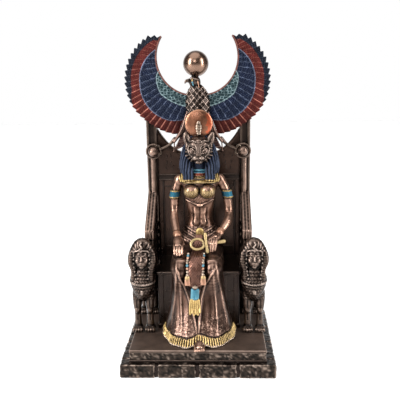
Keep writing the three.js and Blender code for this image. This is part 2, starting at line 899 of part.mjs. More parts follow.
// The skirt's outline at a level: lobes under the knees, with folds that open toward the hem
function skirtRing(z, count) {
  const t = THREE.MathUtils.clamp(1 - z / 66, 0, 1);
  const middle = THREE.MathUtils.lerp(-2.6, -1, t);
  const halfWidth = THREE.MathUtils.lerp(21.2, 25.8, t) + 6.2 * t ** 5;
  const rear = -8;
  const reach = -23.5 + 4 * Math.sin(t * Math.PI * 0.9) * (1 - t) - 1.5 * t - 16.4 * t ** 2.4;
  const made = [];
  for (let i = 0; i < count; i++) {
    const a = (-i / count) * 2 * Math.PI;
    const c = Math.cos(a);
    const s = Math.sin(a);
    const fold = 1 + 0.035 * t * Math.sin(a * 14 + 0.8) + 0.02 * Math.sin(a * 7 + 2 + 3 * t);
    const x = halfWidth * Math.sign(c) * Math.abs(c) ** 0.8 * fold;
    const valley = 4.5 * (1 - 0.5 * t) * Math.exp(-((x / 5.5) ** 2));
    const lift = z < 1 ? 4 * Math.exp(-(((x - 1) / 7) ** 2)) : 0;
    if (s < 0) made.push(G(middle + x, rear + reach * Math.abs(s) ** 0.75 * fold + valley, z + lift));
    else made.push(G(middle + x, rear + 3 * s, z));
  }
  return made;
}

function skirt() {
  const hemBand = 1.012;
  const levels = [0, 3.4, 4.4, 20, 42, 65];
  const rings = levels.map((z, k) => {
    const spread = k === 1 ? hemBand : 1;
    return skirtRing(z, 26).map((p) => V(p.x * spread, p.y * spread, p.z));
  });
  return [loft(rings)];
}

function sash() {
  const strip = (points, width, thick) =>
    gLimb(points, points.map(() => [width, thick]), 4, points.length - 1);
  const apron = strip(
    [
      [-0.6, -2, 83],
      [-1, -12, 74.5],
      [-1.6, -26, 70],
      [-2.4, -32, 64],
      [-3.2, -33.5, 50],
    ],
    6.6,
    1.6,
  );
  const tassel = strip(
    [
      [-3.3, -32.8, 51],
      [-3.5, -35.6, 43],
      [-3.6, -38.6, 35],
      [-3.4, -41.6, 25],
    ],
    4.6,
    2,
  );
  const pendants = [
    [-9.6, 0.4],
    [3.4, 0],
  ].flatMap(([x, drop]) => [
    gLimb([[x + 0.6, -22, 72], [x, -31, 67], [x, -34, 58 - drop]], [1.5, 1.5, 1.6], 4, 2),
    gBlob([x, -34.6, 53.4 - drop], [2.8, 1.8, 4.2], 6, 5),
  ]);
  return [apron, tassel, ...pendants];
}

function foot() {
  const tip = -(STEP_DEPTH / 2 + TOE_OVERHANG) / goddessScale;
  const sole = gLimb(
    [
      [0.4, -34, 4.5],
      [0.4, -44, 3.2],
      [0.3, -51, 2],
      [0.2, tip + 0.4, 0.4],
    ],
    [[4, 4.4], [4.2, 3.2], [4.4, 2.4], [3.6, 1.8]],
    8,
    3,
  );
  return [sole];
}

function goddess() {
  const figure = joined([
    ...torso(),
    ...lionessHead(),
    ...wig(),
    ...sunDisc(),
    ...arms(),
    ...hands(),
    ...ankh(),
    ...lap(),
    ...skirt(),
    ...sash(),
    ...foot(),
  ]);
  const reach = 80;
  const throneCut = box(
    [-reach, seatFront - SEAT_GAP, -reach],
    [reach, postRear, seatTop + SEAT_GAP - standing],
  );
  const stepCut = box([-reach, -STEP_DEPTH / 2 - SEAT_GAP, -reach], [reach, postRear, 0]);
  return figure.subtract(throneCut).subtract(stepCut);
}

// Falcon: drawn around X zero with Z counted from the step's top
const wingCentreX = WING_CENTRE_SPAN / 2;
const wingZ = stepTop + FALCON_LEVEL;
const innerCentre = [3.1, wingZ + 19.4];

// Feathers run from the wing's tip down to the tail; angles are in degrees above level.
function featherAngle(share) {
  return THREE.MathUtils.lerp(FIRST_FEATHER, LAST_FEATHER, share);
}

function arcPoint([x, z], radius, degrees) {
  const a = THREE.MathUtils.degToRad(degrees);
  return [x + radius * Math.cos(a), z + radius * Math.sin(a)];
}

function wingEdge(degrees, notch) {
  const tipward = Math.max(0, degrees - ARC_END);
  const rootward = Math.max(0, -degrees - ARC_END);
  const radius = WING_OUTER_RADIUS - TIP_TAPER * tipward + ROOT_SPREAD * rootward - notch;
  return arcPoint([wingCentreX, wingZ], radius, degrees);
}

function wing(side) {
  const outline = [];
  for (let i = 0; i < FEATHERS; i++) {
    const sharpness = THREE.MathUtils.clamp(1.25 - i / FEATHERS, 0.25, 1);
    outline.push(wingEdge(featherAngle((i + 0.1) / FEATHERS), 0));
    outline.push(wingEdge(featherAngle((i + 0.95) / FEATHERS), FEATHER_NOTCH * sharpness));
  }
  outline.push([2, wingZ - 42]);
  outline.push([2, innerCentre[1] - WING_INNER_RADIUS]);
  const innerArc = (radius, from, to, steps) => {
    const points = [];
    for (let k = 0; k <= steps; k++) {
      points.push(arcPoint(innerCentre, radius, THREE.MathUtils.lerp(from, to, k / steps)));
    }
    return points;
  };
  outline.push(...innerArc(WING_INNER_RADIUS, -88, 31, 8));
  const wingFront = wingRear - WING_THICKNESS;
  const mirrored = (points) => points.map(([x, z]) => [side * x, z]);
  const crescent = (outer, inner, to, raised) =>
    plate(
      mirrored([
        ...innerArc(WING_INNER_RADIUS + outer, -86, to, 7),
        ...innerArc(WING_INNER_RADIUS + inner, to, -86, 7),
      ]),
      wingFront - raised,
      wingRear - 1,
    );
  const blade = plate(mirrored(outline), wingFront, wingRear);
  const shoulder = crescent(10, 0.4, -28, 1.7);
  const rim = crescent(1.6, 0, 28, 1.3);
  return [blade, shoulder, rim];
}

function falconBody() {
  const y = wingRear - 3.5;
  const body = loft(
    [
      [-36, 0.4, 6.5, 4],
      [-29, 0.4, 9.6, 5.6],
      [-20, 0.2, 11, 6.6],
      [-13, -0.4, 9.2, 6.2],
      [-8, -1.4, 5.4, 5],
      [-3, -2, 4.4, 4.4],
    ].map(([z, x, rx, ry]) => ring(wingZ + z, [x, y], [rx, ry], 8)),
  );
  const head = blob([-2.2, y - 0.3, wingZ - 1.2], [5.2, 4.9, 5], 8, 6);
  const beak = limb(
    [V(-6.4, y - 0.3, wingZ - 0.6), V(-9.6, y - 0.3, wingZ - 0.8), V(-11, y - 0.3, wingZ - 2.8)],
    [1.9, 1.1, 0.4],
    6,
    2,
  );
  const orb = solid(
    new THREE.SphereGeometry(ORB_RADIUS, 11, 6).translate(-1, y, wingZ + 3.6 + ORB_RADIUS * 0.93),
  );
  return [body, head, beak, orb];
}

function tail() {
  const feathers = 7;
  const root = wingZ - 26;
  const outline = [
    [-8, root],
    [-16, wingZ - 42],
  ];
  for (let i = 0; i <= feathers; i++) {
    const x = TAIL_WIDTH * (i / feathers - 0.5);
    const z = wingZ - 62 + 7 * (1 - ((2 * x) / TAIL_WIDTH) ** 2);
    outline.push([x, z + (i ? 1.2 : 0)]);
    if (i < feathers) outline.push([x + (0.5 * TAIL_WIDTH) / feathers, z - 0.4]);
  }
  outline.push([16, wingZ - 42], [8, root]);
  const y = wingRear - 2.2;
  const fan = plate(outline.reverse(), y - 3, y + 1);
  const edges = both((side) =>
    limb(
      [
        V(side * 8.5, y - 2, root + 2),
        V(side * 12.5, y - 3, wingZ - 38),
        V(side * (TAIL_WIDTH / 2 - 0.8), y - 3, wingZ - 53),
      ],
      [1.1, 1.3, 0.9],
      6,
      3,
    ),
  );
  return [fan, ...edges];
}

// Each foot reaches sideways to a ring around the ball on the throne's post.
function talons(side) {
  const centre = V(side * ballCentre.x, ballCentre.y + BALL_RADIUS * 0.45, ballCentre.z);
  const hold = torus(centre, TALON_RING_RADIUS, TALON_RING_THICKNESS, 9, 4);
  const inward = centre.clone().add(V(-side * TALON_RING_RADIUS, 0, 2));
  const leg = limb(
    [V(side * 21, wingRear - 3, wingZ - 51), V(side * 25, wingRear - 3.4, wingZ - 55), inward],
    [2.2, 1.5, 1.4],
    6,
    3,
  );
  const claws = [-0.3, 0.9].map((turn) => {
    const spot = (radius, angle, forward) =>
      centre.clone().add(V(-side * radius * Math.cos(angle), forward, radius * Math.sin(angle)));
    return limb(
      [
        spot(TALON_RING_RADIUS, turn * 0.5, 0),
        spot(TALON_RING_RADIUS + 0.4, turn, -2.6),
        spot(TALON_RING_RADIUS - 0.6, turn * 1.25, -5),
      ],
      [1.2, 1.1, 0.5],
      4,
      2,
    );
  });
  return [hold, leg, ...claws];
}

function falcon() {
  return joined([
    ...both(wing).flat(),
    ...falconBody(),
    ...tail(),
    ...both(talons).flat(),
  ]);
}

// Finishes, and the pieces in their places
const bronze = (color, roughness) => new THREE.MeshStandardMaterial({ color, roughness, metalness: 0.8 });
const statue = new THREE.Group();

statue.add(meshOf("stone_plinth", plinth(), bronze(0x4a3d36, 0.6)));
statue.add(meshOf("throne", throne(), bronze(0x3a2a24, 0.45)));
statue.add(meshOf("falcon", falcon(), bronze(0x34384a, 0.45)));

const seated = meshOf("goddess", goddess(), bronze(0x7a5340, 0.35));
seated.position.set(GODDESS_OFFSET, 0, standing);
statue.add(seated);

for (const [name, side] of [
  ["sphinx_left", -1],
  ["sphinx_right", 1],
]) {
  const beast = meshOf(name, sphinx(side), bronze(0x44352d, 0.45));
  beast.position.set((side * SPHINX_SPACING) / 2, -SPHINX_FRONT, standing);
  statue.add(beast);
}

export default statue;
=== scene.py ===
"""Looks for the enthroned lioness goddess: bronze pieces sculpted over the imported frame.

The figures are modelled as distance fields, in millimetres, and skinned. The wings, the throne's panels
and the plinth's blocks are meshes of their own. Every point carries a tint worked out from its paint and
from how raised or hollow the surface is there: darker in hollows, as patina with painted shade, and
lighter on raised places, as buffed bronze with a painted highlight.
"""
import math

import bpy
import numpy as np
from mathutils import Matrix, Vector


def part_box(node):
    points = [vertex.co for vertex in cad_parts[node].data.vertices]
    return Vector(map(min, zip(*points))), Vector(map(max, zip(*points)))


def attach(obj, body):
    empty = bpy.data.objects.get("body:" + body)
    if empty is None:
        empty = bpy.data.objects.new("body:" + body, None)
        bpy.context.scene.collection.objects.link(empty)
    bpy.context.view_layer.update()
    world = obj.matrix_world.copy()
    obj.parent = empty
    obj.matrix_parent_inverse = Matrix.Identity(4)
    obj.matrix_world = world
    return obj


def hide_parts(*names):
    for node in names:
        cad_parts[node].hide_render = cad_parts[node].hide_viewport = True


MM = 0.001

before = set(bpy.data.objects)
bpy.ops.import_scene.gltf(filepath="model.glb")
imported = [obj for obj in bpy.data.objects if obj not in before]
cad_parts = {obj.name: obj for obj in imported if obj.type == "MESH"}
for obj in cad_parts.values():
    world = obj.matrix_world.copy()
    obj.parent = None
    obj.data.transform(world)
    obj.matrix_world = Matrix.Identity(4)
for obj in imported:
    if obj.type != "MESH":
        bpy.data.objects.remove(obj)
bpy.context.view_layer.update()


def node_box(name):
    """A node's lowest and highest corner, in millimetres."""
    low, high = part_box(name)
    return np.array(low) / MM, np.array(high) / MM


plinth_low, plinth_high = node_box("stone_plinth")
throne_low, throne_high = node_box("throne")
sphinx_low, sphinx_high = node_box("sphinx_right")

# Levels and places read from the frame, in millimetres
GAP = 0.3
STANDING = throne_low[2]
STEP_TOP = plinth_high[2]
SPHINX_X = (sphinx_low[0] + sphinx_high[0]) / 2
SPHINX_Y = sphinx_low[1] + 2.9
GODDESS_X = 1.5
POST_REAR = throne_high[1]
POST_FRONT = POST_REAR - 12
WING_REAR = POST_FRONT - GAP
WING_Z = STEP_TOP + 213.4
HALF_BACK = throne_high[0]
ARM_FRONT = POST_FRONT - 36.5
SIDE_PANEL_LOW = STANDING + 48.3

# Voxel edges of the sculpted pieces
HEAD_VOXEL = 0.4
BODY_VOXEL = 0.45
SKIRT_VOXEL = 0.5
SPHINX_VOXEL = 0.48
BIRD_VOXEL = 0.45
POST_VOXEL = 0.62

# Paints: colour in the hollows (patina and painted shade), colour on the flat, colour on raised places
# (buffed bronze and painted highlight), and the finish
PAINTS = {
    "skin": ((0.008, 0.004, 0.003), (0.074, 0.036, 0.023), (0.33, 0.2, 0.145), "bronze"),
    "cloth": ((0.007, 0.004, 0.003), (0.05, 0.026, 0.018), (0.24, 0.15, 0.112), "bronze"),
    "apron": ((0.012, 0.004, 0.003), (0.049, 0.019, 0.013), (0.168, 0.084, 0.059), "bronze"),
    "panel": ((0.005, 0.003, 0.002), (0.042, 0.023, 0.016), (0.17, 0.108, 0.082), "bronze"),
    "dark": ((0.002, 0.0015, 0.001), (0.017, 0.0105, 0.008), (0.088, 0.061, 0.047), "bronze"),
    "post": ((0.003, 0.002, 0.001), (0.028, 0.016, 0.011), (0.15, 0.098, 0.075), "bronze"),
    "stone": ((0.004, 0.003, 0.002), (0.028, 0.019, 0.014), (0.2, 0.15, 0.12), "bronze"),
    "step": ((0.006, 0.004, 0.003), (0.045, 0.03, 0.023), (0.24, 0.175, 0.14), "paint"),
    # A lighter bronze for ridges, beads and crests: buffed bronze with a painted highlight.
    "rubbed_highlight": ((0.008, 0.005, 0.004), (0.064, 0.046, 0.037), (0.196, 0.148, 0.122), "bronze"),
    "face": ((0.002, 0.0015, 0.001), (0.04, 0.026, 0.02), (0.175, 0.125, 0.1), "bronze"),
    "wig": ((0.001, 0.001, 0.002), (0.004, 0.006, 0.013), (0.026, 0.034, 0.056), "paint"),
    "gold": ((0.016, 0.007, 0.002), (0.125, 0.069, 0.017), (0.35, 0.24, 0.09), "gilt"),
    "halter": ((0.014, 0.008, 0.003), (0.07, 0.041, 0.016), (0.27, 0.185, 0.086), "gilt"),
    "copper": ((0.02, 0.008, 0.004), (0.11, 0.045, 0.023), (0.32, 0.17, 0.108), "gilt"),
    "turquoise": ((0.004, 0.018, 0.03), (0.011, 0.066, 0.1), (0.07, 0.165, 0.205), "paint"),
    "sun": ((0.05, 0.02, 0.011), (0.14, 0.057, 0.031), (0.27, 0.14, 0.085), "bronze"),
    "flame": ((0.09, 0.018, 0.008), (0.28, 0.058, 0.024), (0.4, 0.15, 0.09), "bronze"),
    "ankh": ((0.03, 0.018, 0.006), (0.115, 0.075, 0.027), (0.27, 0.195, 0.09), "gilt"),
    "orb": ((0.080, 0.045, 0.031), (0.125, 0.074, 0.050), (0.200, 0.120, 0.086), "polish"),
    "tail": ((0.006, 0.003, 0.003), (0.024, 0.009, 0.008), (0.11, 0.067, 0.052), "bronze"),
    "lace": ((0.01, 0.007, 0.005), (0.09, 0.06, 0.041), (0.3, 0.228, 0.175), "bronze"),
}
PAINT_NAMES = list(PAINTS)

# Finishes: metallic, roughness, grain, bump, specular and coat
LOOKS = {
    "bronze": (0.88, 0.28, 0.35, 0.4, 0.3, 0.08),
    "paint": (0.2, 0.45, 0.3, 0.35, 0.06, 0.02),
    "gilt": (0.7, 0.38, 0.2, 0.25, 0.4, 0.15),
    "polish": (1.0, 0.24, 0.05, 0.02, 0.5, 0.2),
}
FINISHES = list(LOOKS)


def node(tree, kind, **values):
    """A shader node with values on its inputs; _ stands for the space in an input's name."""
    made = tree.nodes.new("ShaderNode" + kind)
    for name, value in values.items():
        made.inputs[name.replace("_", " ")].default_value = value
    return made


def make_finish(name, metallic, roughness, grain, bump, specular, coat):
    """A surface coloured by the points' tint, with blotches, uneven gloss and fine pores."""
    material = bpy.data.materials.new(name)
    material.use_nodes = True
    tree = material.node_tree
    join = tree.links.new
    shader = tree.nodes["Principled BSDF"]
    shader.inputs["Metallic"].default_value = metallic
    shader.inputs["Specular IOR Level"].default_value = specular
    shader.inputs["Coat Weight"].default_value = coat
    shader.inputs["Coat Roughness"].default_value = 0.2
    tint = node(tree, "Attribute")
    tint.attribute_name = "tint"
    coords = node(tree, "TexCoord")
    blotches = node(tree, "TexNoise", Scale=160, Detail=5)
    join(coords.outputs["Object"], blotches.inputs["Vector"])
    spread = node(tree, "MapRange", From_Min=0.3, From_Max=0.7, To_Min=1 - grain, To_Max=1 + grain * 0.6)
    join(blotches.outputs["Fac"], spread.inputs["Value"])
    mix = node(tree, "VectorMath")
    mix.operation = "MULTIPLY"
    join(tint.outputs["Color"], mix.inputs[0])
    join(spread.outputs["Result"], mix.inputs[1])
    join(mix.outputs["Vector"], shader.inputs["Base Color"])
    dull = node(tree, "MapRange", To_Min=roughness - 0.07, To_Max=roughness + 0.12)
    join(blotches.outputs["Fac"], dull.inputs["Value"])
    join(dull.outputs["Result"], shader.inputs["Roughness"])
    pores = node(tree, "TexNoise", Scale=900, Detail=3)
    join(coords.outputs["Object"], pores.inputs["Vector"])
    relief = node(tree, "Bump", Strength=bump, Distance=0.0003)
    join(pores.outputs["Fac"], relief.inputs["Height"])
    join(relief.outputs["Normal"], shader.inputs["Normal"])
    return material


finishes = {name: make_finish(name, *look) for name, look in LOOKS.items()}


def show(name, data):
    """A new object in the scene."""
    shown = bpy.data.objects.new(name, data)
    bpy.context.scene.collection.objects.link(shown)
    return shown


def sheet(index):
    """Quads between the neighbouring rows and columns of numbered points."""
    return np.stack([index[:-1, :-1], index[1:, :-1], index[1:, 1:], index[:-1, 1:]], -1).reshape(-1, 4)


def colours(paint, raised):
    """Each point's tint: raised runs from 0 in a hollow over 0.5 on the flat to 1 on a raised edge. The
    hollow colour is patina with painted shade, the raised colour buffed bronze with a painted highlight.
    """
    table = np.array([PAINTS[name][:3] for name in PAINT_NAMES])
    chosen = table[paint]
    # Below 0.5 the tint darkens towards the hollow colour, patina with painted shade; above 0.5 it
    # lightens towards the raised colour, buffed bronze with a painted highlight.
    sink = np.clip(raised * 2, 0, 1)[:, None]
    rub_and_highlight = np.clip(raised * 2 - 1, 0, 1)[:, None]
    return chosen[:, 0] * (1 - sink) + chosen[:, 1] * sink + (chosen[:, 2] - chosen[:, 1]) * rub_and_highlight


def build(name, points, faces, tints, face_finish, smooth=True, replaces=None):
    """A mesh from points in millimetres, quads or triangles, point tints and a finish for each face."""
    mesh = bpy.data.meshes.new(name)
    faces = np.asarray(faces, np.int32)
    count, corners = faces.shape
    mesh.vertices.add(len(points))
    mesh.vertices.foreach_set("co", (np.asarray(points, np.float32) * MM).ravel())
    mesh.loops.add(count * corners)
    mesh.loops.foreach_set("vertex_index", faces.ravel())
    mesh.polygons.add(count)
    mesh.polygons.foreach_set("loop_start", np.arange(0, count * corners, corners, dtype=np.int32))
    used = sorted(set(np.unique(face_finish).tolist()))
    places = {finish: place for place, finish in enumerate(used)}
    for finish in used:
        mesh.materials.append(finishes[FINISHES[finish]])
    mesh.polygons.foreach_set("material_index",
        np.array([places[f] for f in face_finish.tolist()], np.int32))
    mesh.update(calc_edges=True)
    mesh.validate()
    layer = mesh.color_attributes.new("tint", "FLOAT_COLOR", "POINT")
    rgba = np.concatenate([tints, np.ones((len(tints), 1))], 1).astype(np.float32)
    layer.data.foreach_set("color", rgba.ravel())
    mesh.polygons.foreach_set("use_smooth", np.full(len(mesh.polygons), smooth))
    piece = show(name, mesh)
    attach(piece, "root")
    if replaces:
        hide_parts(replaces)
    return piece


def smooth_path(points, steps=6):
    """Points of any dimension, made dense along a smooth curve through them."""
    points = np.array(points, float)
    ends = np.vstack([2 * points[0] - points[1], points, 2 * points[-1] - points[-2]])
    dense = []
    for i in range(1, len(ends) - 2):
        before, here, there, after = ends[i - 1 : i + 3]
        for t in np.arange(steps) / steps:
            dense.append(0.5 * (2 * here + (there - before) * t
                + (2 * before - 5 * here + 4 * there - after)
                * t**2 + (3 * here - before - 3 * there + after) * t**3))
    dense.append(points[-1])
    return np.array(dense)


# Shapes: each is (distance function, lowest corner, highest corner)


def ellipsoid(centre, radii):
    """A ball stretched along the axes."""
    c, r = np.array(centre, float), np.array(radii, float)

    def distance(x, y, z):
        u, v, w = (x - c[0]) / r[0], (y - c[1]) / r[1], (z - c[2]) / r[2]
        k0 = np.sqrt(u * u + v * v + w * w)
        k1 = np.sqrt((u / r[0]) ** 2 + (v / r[1]) ** 2 + (w / r[2]) ** 2)
        return k0 * (k0 - 1) / np.maximum(k1, 1e-6)

    return distance, c - r, c + r


def rounded_box(low, high, radius):
    """A box with round edges."""
    low, high = np.array(low, float), np.array(high, float)
    c, h = (low + high) / 2, (high - low) / 2 - radius

    def distance(x, y, z):
        u, v, w = abs(x - c[0]) - h[0], abs(y - c[1]) - h[1], abs(z - c[2]) - h[2]
        outside = np.sqrt(np.maximum(u, 0) ** 2 + np.maximum(v, 0) ** 2 + np.maximum(w, 0) ** 2)
        return outside + np.minimum(np.maximum(np.maximum(u, v), w), 0) - radius

    return distance, low, high


def chain(points, radii, squash=(1, 1, 1), curved=True):
    """A rounded limb through points; squash narrows it along an axis."""
    rows = np.array([[*p, r] for p, r in zip(points, np.broadcast_to(radii, len(points)))], float)
    if curved and len(rows) > 2:
        rows = smooth_path(rows, 4)
    s = np.array(squash, float)
    centres, radius = rows[:, :3] / s, rows[:, 3]

    def distance(x, y, z):
        x, y, z = x / s[0], y / s[1], z / s[2]
        best = None
        for a, b, ra, rb in zip(centres[:-1], centres[1:], radius[:-1], radius[1:]):
            d = b - a
            t = ((x - a[0]) * d[0] + (y - a[1]) * d[1] + (z - a[2]) * d[2]) / max(d @ d, 1e-9)
            t = np.clip(t, 0, 1)
            u, v, w = x - a[0] - t * d[0], y - a[1] - t * d[1], z - a[2] - t * d[2]
            gap = np.sqrt(u * u + v * v + w * w) - (ra + (rb - ra) * t)
            best = gap if best is None else np.minimum(best, gap)
        return best * s.min()

    reach = radius[:, None] * s
    return distance, (centres * s - reach).min(0), (centres * s + reach).max(0)


def rod(points, radii, squash=(1, 1, 1)):
    """A limb that runs straight from point to point."""
    return chain(points, radii, squash, False)


def stack(rows):
    """Level ellipses at rising heights: rows of z, middle y, half width and half depth."""
    dense = smooth_path(rows, 8)
    heights, middle, wide, deep = dense.T
    bottom, top = heights[0], heights[-1]

    def distance(x, y, z):
        cy, rx, ry = (np.interp(z, heights, values) for values in (middle, wide, deep))
        u, v = x / rx, (y - cy) / ry
        k0 = np.sqrt(u * u + v * v)
        k1 = np.sqrt((u / rx) ** 2 + (v / ry) ** 2)
        side = k0 * (k0 - 1) / np.maximum(k1, 1e-6)
        return np.maximum(side, np.maximum(bottom - z, z - top))

    reach = np.array([wide.max(), 0, 0])
    low = np.array([0, (middle - deep).min(), bottom]) - reach
    return distance, low, np.array([0, (middle + deep).max(), top]) + reach


def hoop(centre, radius, thickness, axis=1):
    """A round ring about an axis."""
    c = np.array(centre, float)
    across = [a for a in range(3) if a != axis]

    def distance(*place):
        flat = np.sqrt((place[across[0]] - c[across[0]]) ** 2 + (place[across[1]] - c[across[1]]) ** 2)
        return np.sqrt((flat - radius) ** 2 + (place[axis] - c[axis]) ** 2) - thickness

    reach = np.full(3, radius + thickness)
    return distance, c - reach, c + reach


def mirrored(shape):
    """The same shape on the other side of X = 0."""
    distance, low, high = shape
    flip = np.array([-1, 1, 1])
    ends = np.array([low * flip, high * flip])
    return (lambda x, y, z: distance(-x, y, z)), ends.min(0), ends.max(0)


class Clay:
    """A block of space in which shapes are joined, cut and embossed, and then skinned."""

    MARGIN = 2.4

    def __init__(self, low, high, voxel):
        self.voxel = voxel
        self.low = np.array(low, float) - 2 * voxel
        size = np.ceil((np.array(high, float) - self.low) / voxel).astype(int) + 3
        self.depth = np.full(size, 6.0, np.float32)
        self.paint = np.zeros(size, np.uint8)

    def region(self, low, high):
        """The cells round a box, and their places."""
        first = np.floor((np.array(low) - self.MARGIN - self.low) / self.voxel).astype(int)
        last = np.ceil((np.array(high) + self.MARGIN - self.low) / self.voxel).astype(int)
        first, last = np.clip(first, 0, self.depth.shape), np.clip(last, 0, self.depth.shape)
        axes = [self.low[a] + self.voxel * np.arange(first[a], last[a]) for a in range(3)]
        return tuple(slice(a, b) for a, b in zip(first, last)), np.meshgrid(*axes,
            indexing="ij", sparse=True)

    def add(self, shape, paint, blend=0.5, both=False):
        """Joins a shape on, with a fillet of about the blend's size."""
        distance, low, high = shape
        where, place = self.region(low, high)
        new = distance(*place).astype(np.float32)
        old = self.depth[where]
        self.paint[where] = np.where(new < old, PAINT_NAMES.index(paint), self.paint[where])
        share = np.clip(0.5 + 0.5 * (old - new) / blend, 0, 1)
        self.depth[where] = old + (new - old) * share - blend * share * (1 - share)
        if both:
            self.add(mirrored(shape), paint, blend)

    def cut(self, shape, blend=0.3, both=False):
        """Takes a shape away."""
        distance, low, high = shape
        where, place = self.region(low, high)
        new = -distance(*place).astype(np.float32)
        old = self.depth[where]
        share = np.clip(0.5 - 0.5 * (old - new) / blend, 0, 1)
        self.depth[where] = old + (new - old) * share + blend * share * (1 - share)
        if both:
            self.cut(mirrored(shape), blend)

    def emboss(self, low, high, amount, paints=None, repaint=None):
        """Raises the surface by amount(x, y, z), and repaints it where a paint's test is true."""
        where, place = self.region(low, high)
        held = self.paint[where]
        chosen = np.ones(held.shape, bool)
        if paints:
            chosen = np.isin(held, [PAINT_NAMES.index(p) for p in paints])
        raised = np.broadcast_to(amount(*place), held.shape)
        self.depth[where] -= np.where(chosen, raised, 0).astype(np.float32)
        for name, test in (repaint or {}).items():
            inside = np.broadcast_to(test(*place), held.shape) & chosen
            self.paint[where] = np.where(inside, PAINT_NAMES.index(name), self.paint[where])

    def relief(self, passes=3):
        """How far each place stands out from its surroundings."""
        soft = self.depth.copy()
        for _ in range(passes):
            for axis in range(3):
                soft = (np.roll(soft, 1, axis) + soft + np.roll(soft, -1, axis)) / 3
        return soft - self.depth

    def skin(self, name, node_slot, offset=(0, 0, 0), flip=False, rub_and_shade=4.0, replaces=None):
        """Makes the surface a mesh: a point in each cell that it crosses, and a quad across each edge."""
        d = self.depth
        solid = d < 0
        size = np.array(d.shape) - 1
        corner = [(i, j, k) for i in (0, 1) for j in (0, 1) for k in (0, 1)]
        window = lambda array, c: array[tuple(slice(o, o + n) for o, n in zip(c, size))]
        count = sum(window(solid, c).astype(np.uint8) for c in corner)
        cells = np.argwhere((count > 0) & (count < 8))
        number = np.full(size, -1, np.int32)
        number[tuple(cells.T)] = np.arange(len(cells))
        total, hits = np.zeros((len(cells), 3)), np.zeros(len(cells))
        values = {c: d[tuple((cells + c).T)] for c in corner}
        for a in corner:
            for axis in range(3):
                if a[axis]:
                    continue
                b = tuple(v + (k == axis) for k, v in enumerate(a))
                va, vb = values[a], values[b]
                crossed = (va < 0) != (vb < 0)
                t = np.where(crossed, va / np.where(crossed, va - vb, 1), 0)
                place = np.array(a, float)[None, :].repeat(len(cells), 0)
                place[:, axis] += t
                total += place * crossed[:, None]
                hits += crossed
        points = cells + total / hits[:, None]
        faces = []
        for axis in range(3):
            u, v = [a for a in range(3) if a != axis]
            step = np.eye(3, dtype=int)
            near = tuple(slice(1, n) if a != axis else slice(0, n) for a, n in enumerate(size))
            far = tuple(slice(1, n) if a != axis else slice(1, n + 1) for a, n in enumerate(size))
            crossing = solid[near] != solid[far]
            edges = np.argwhere(crossing) + np.array([0 if a == axis else 1 for a in range(3)])
            outward = solid[tuple(edges.T)]
            if axis == 1:
                outward = ~outward
            square = [edges, edges - step[u], edges - step[u] - step[v], edges - step[v]]
            quad = np.stack([number[tuple(q.T)] for q in square], 1)
            quad[~outward] = quad[~outward, ::-1]
            faces.append(quad)
        faces = np.concatenate(faces)
        nearest = tuple(np.rint(points).astype(int).T)
        paint = self.paint[nearest]
        standing = self.relief()[nearest]
        # Darker where the surface sinks and lighter where it stands out: patina and buffed bronze, with
        # painted shade and painted highlight; the factor sets how strongly.
        raised = np.clip(0.5 + standing * rub_and_shade, 0, 1)
        world = self.low + points * self.voxel
        if flip:
            world[:, 0] *= -1
            faces = faces[:, ::-1]
        finish_of = np.array([FINISHES.index(PAINTS[p][3]) for p in PAINT_NAMES])
        return build(name, world + np.array(offset),
            faces, colours(paint, raised), finish_of[paint[faces[:, 0]]], replaces=replaces)


def between(value, low, high):
    """True where the value lies between the two."""
    return (value > low) & (value < high)


def bump_at(value, centre, width):
    """A smooth ridge of height 1."""
    return np.exp(-(((value - centre) / width) ** 2))


# The goddess: X from her own middle, Z from the soles

# Where the wig's lappets end
LAPPET_END = 128.4


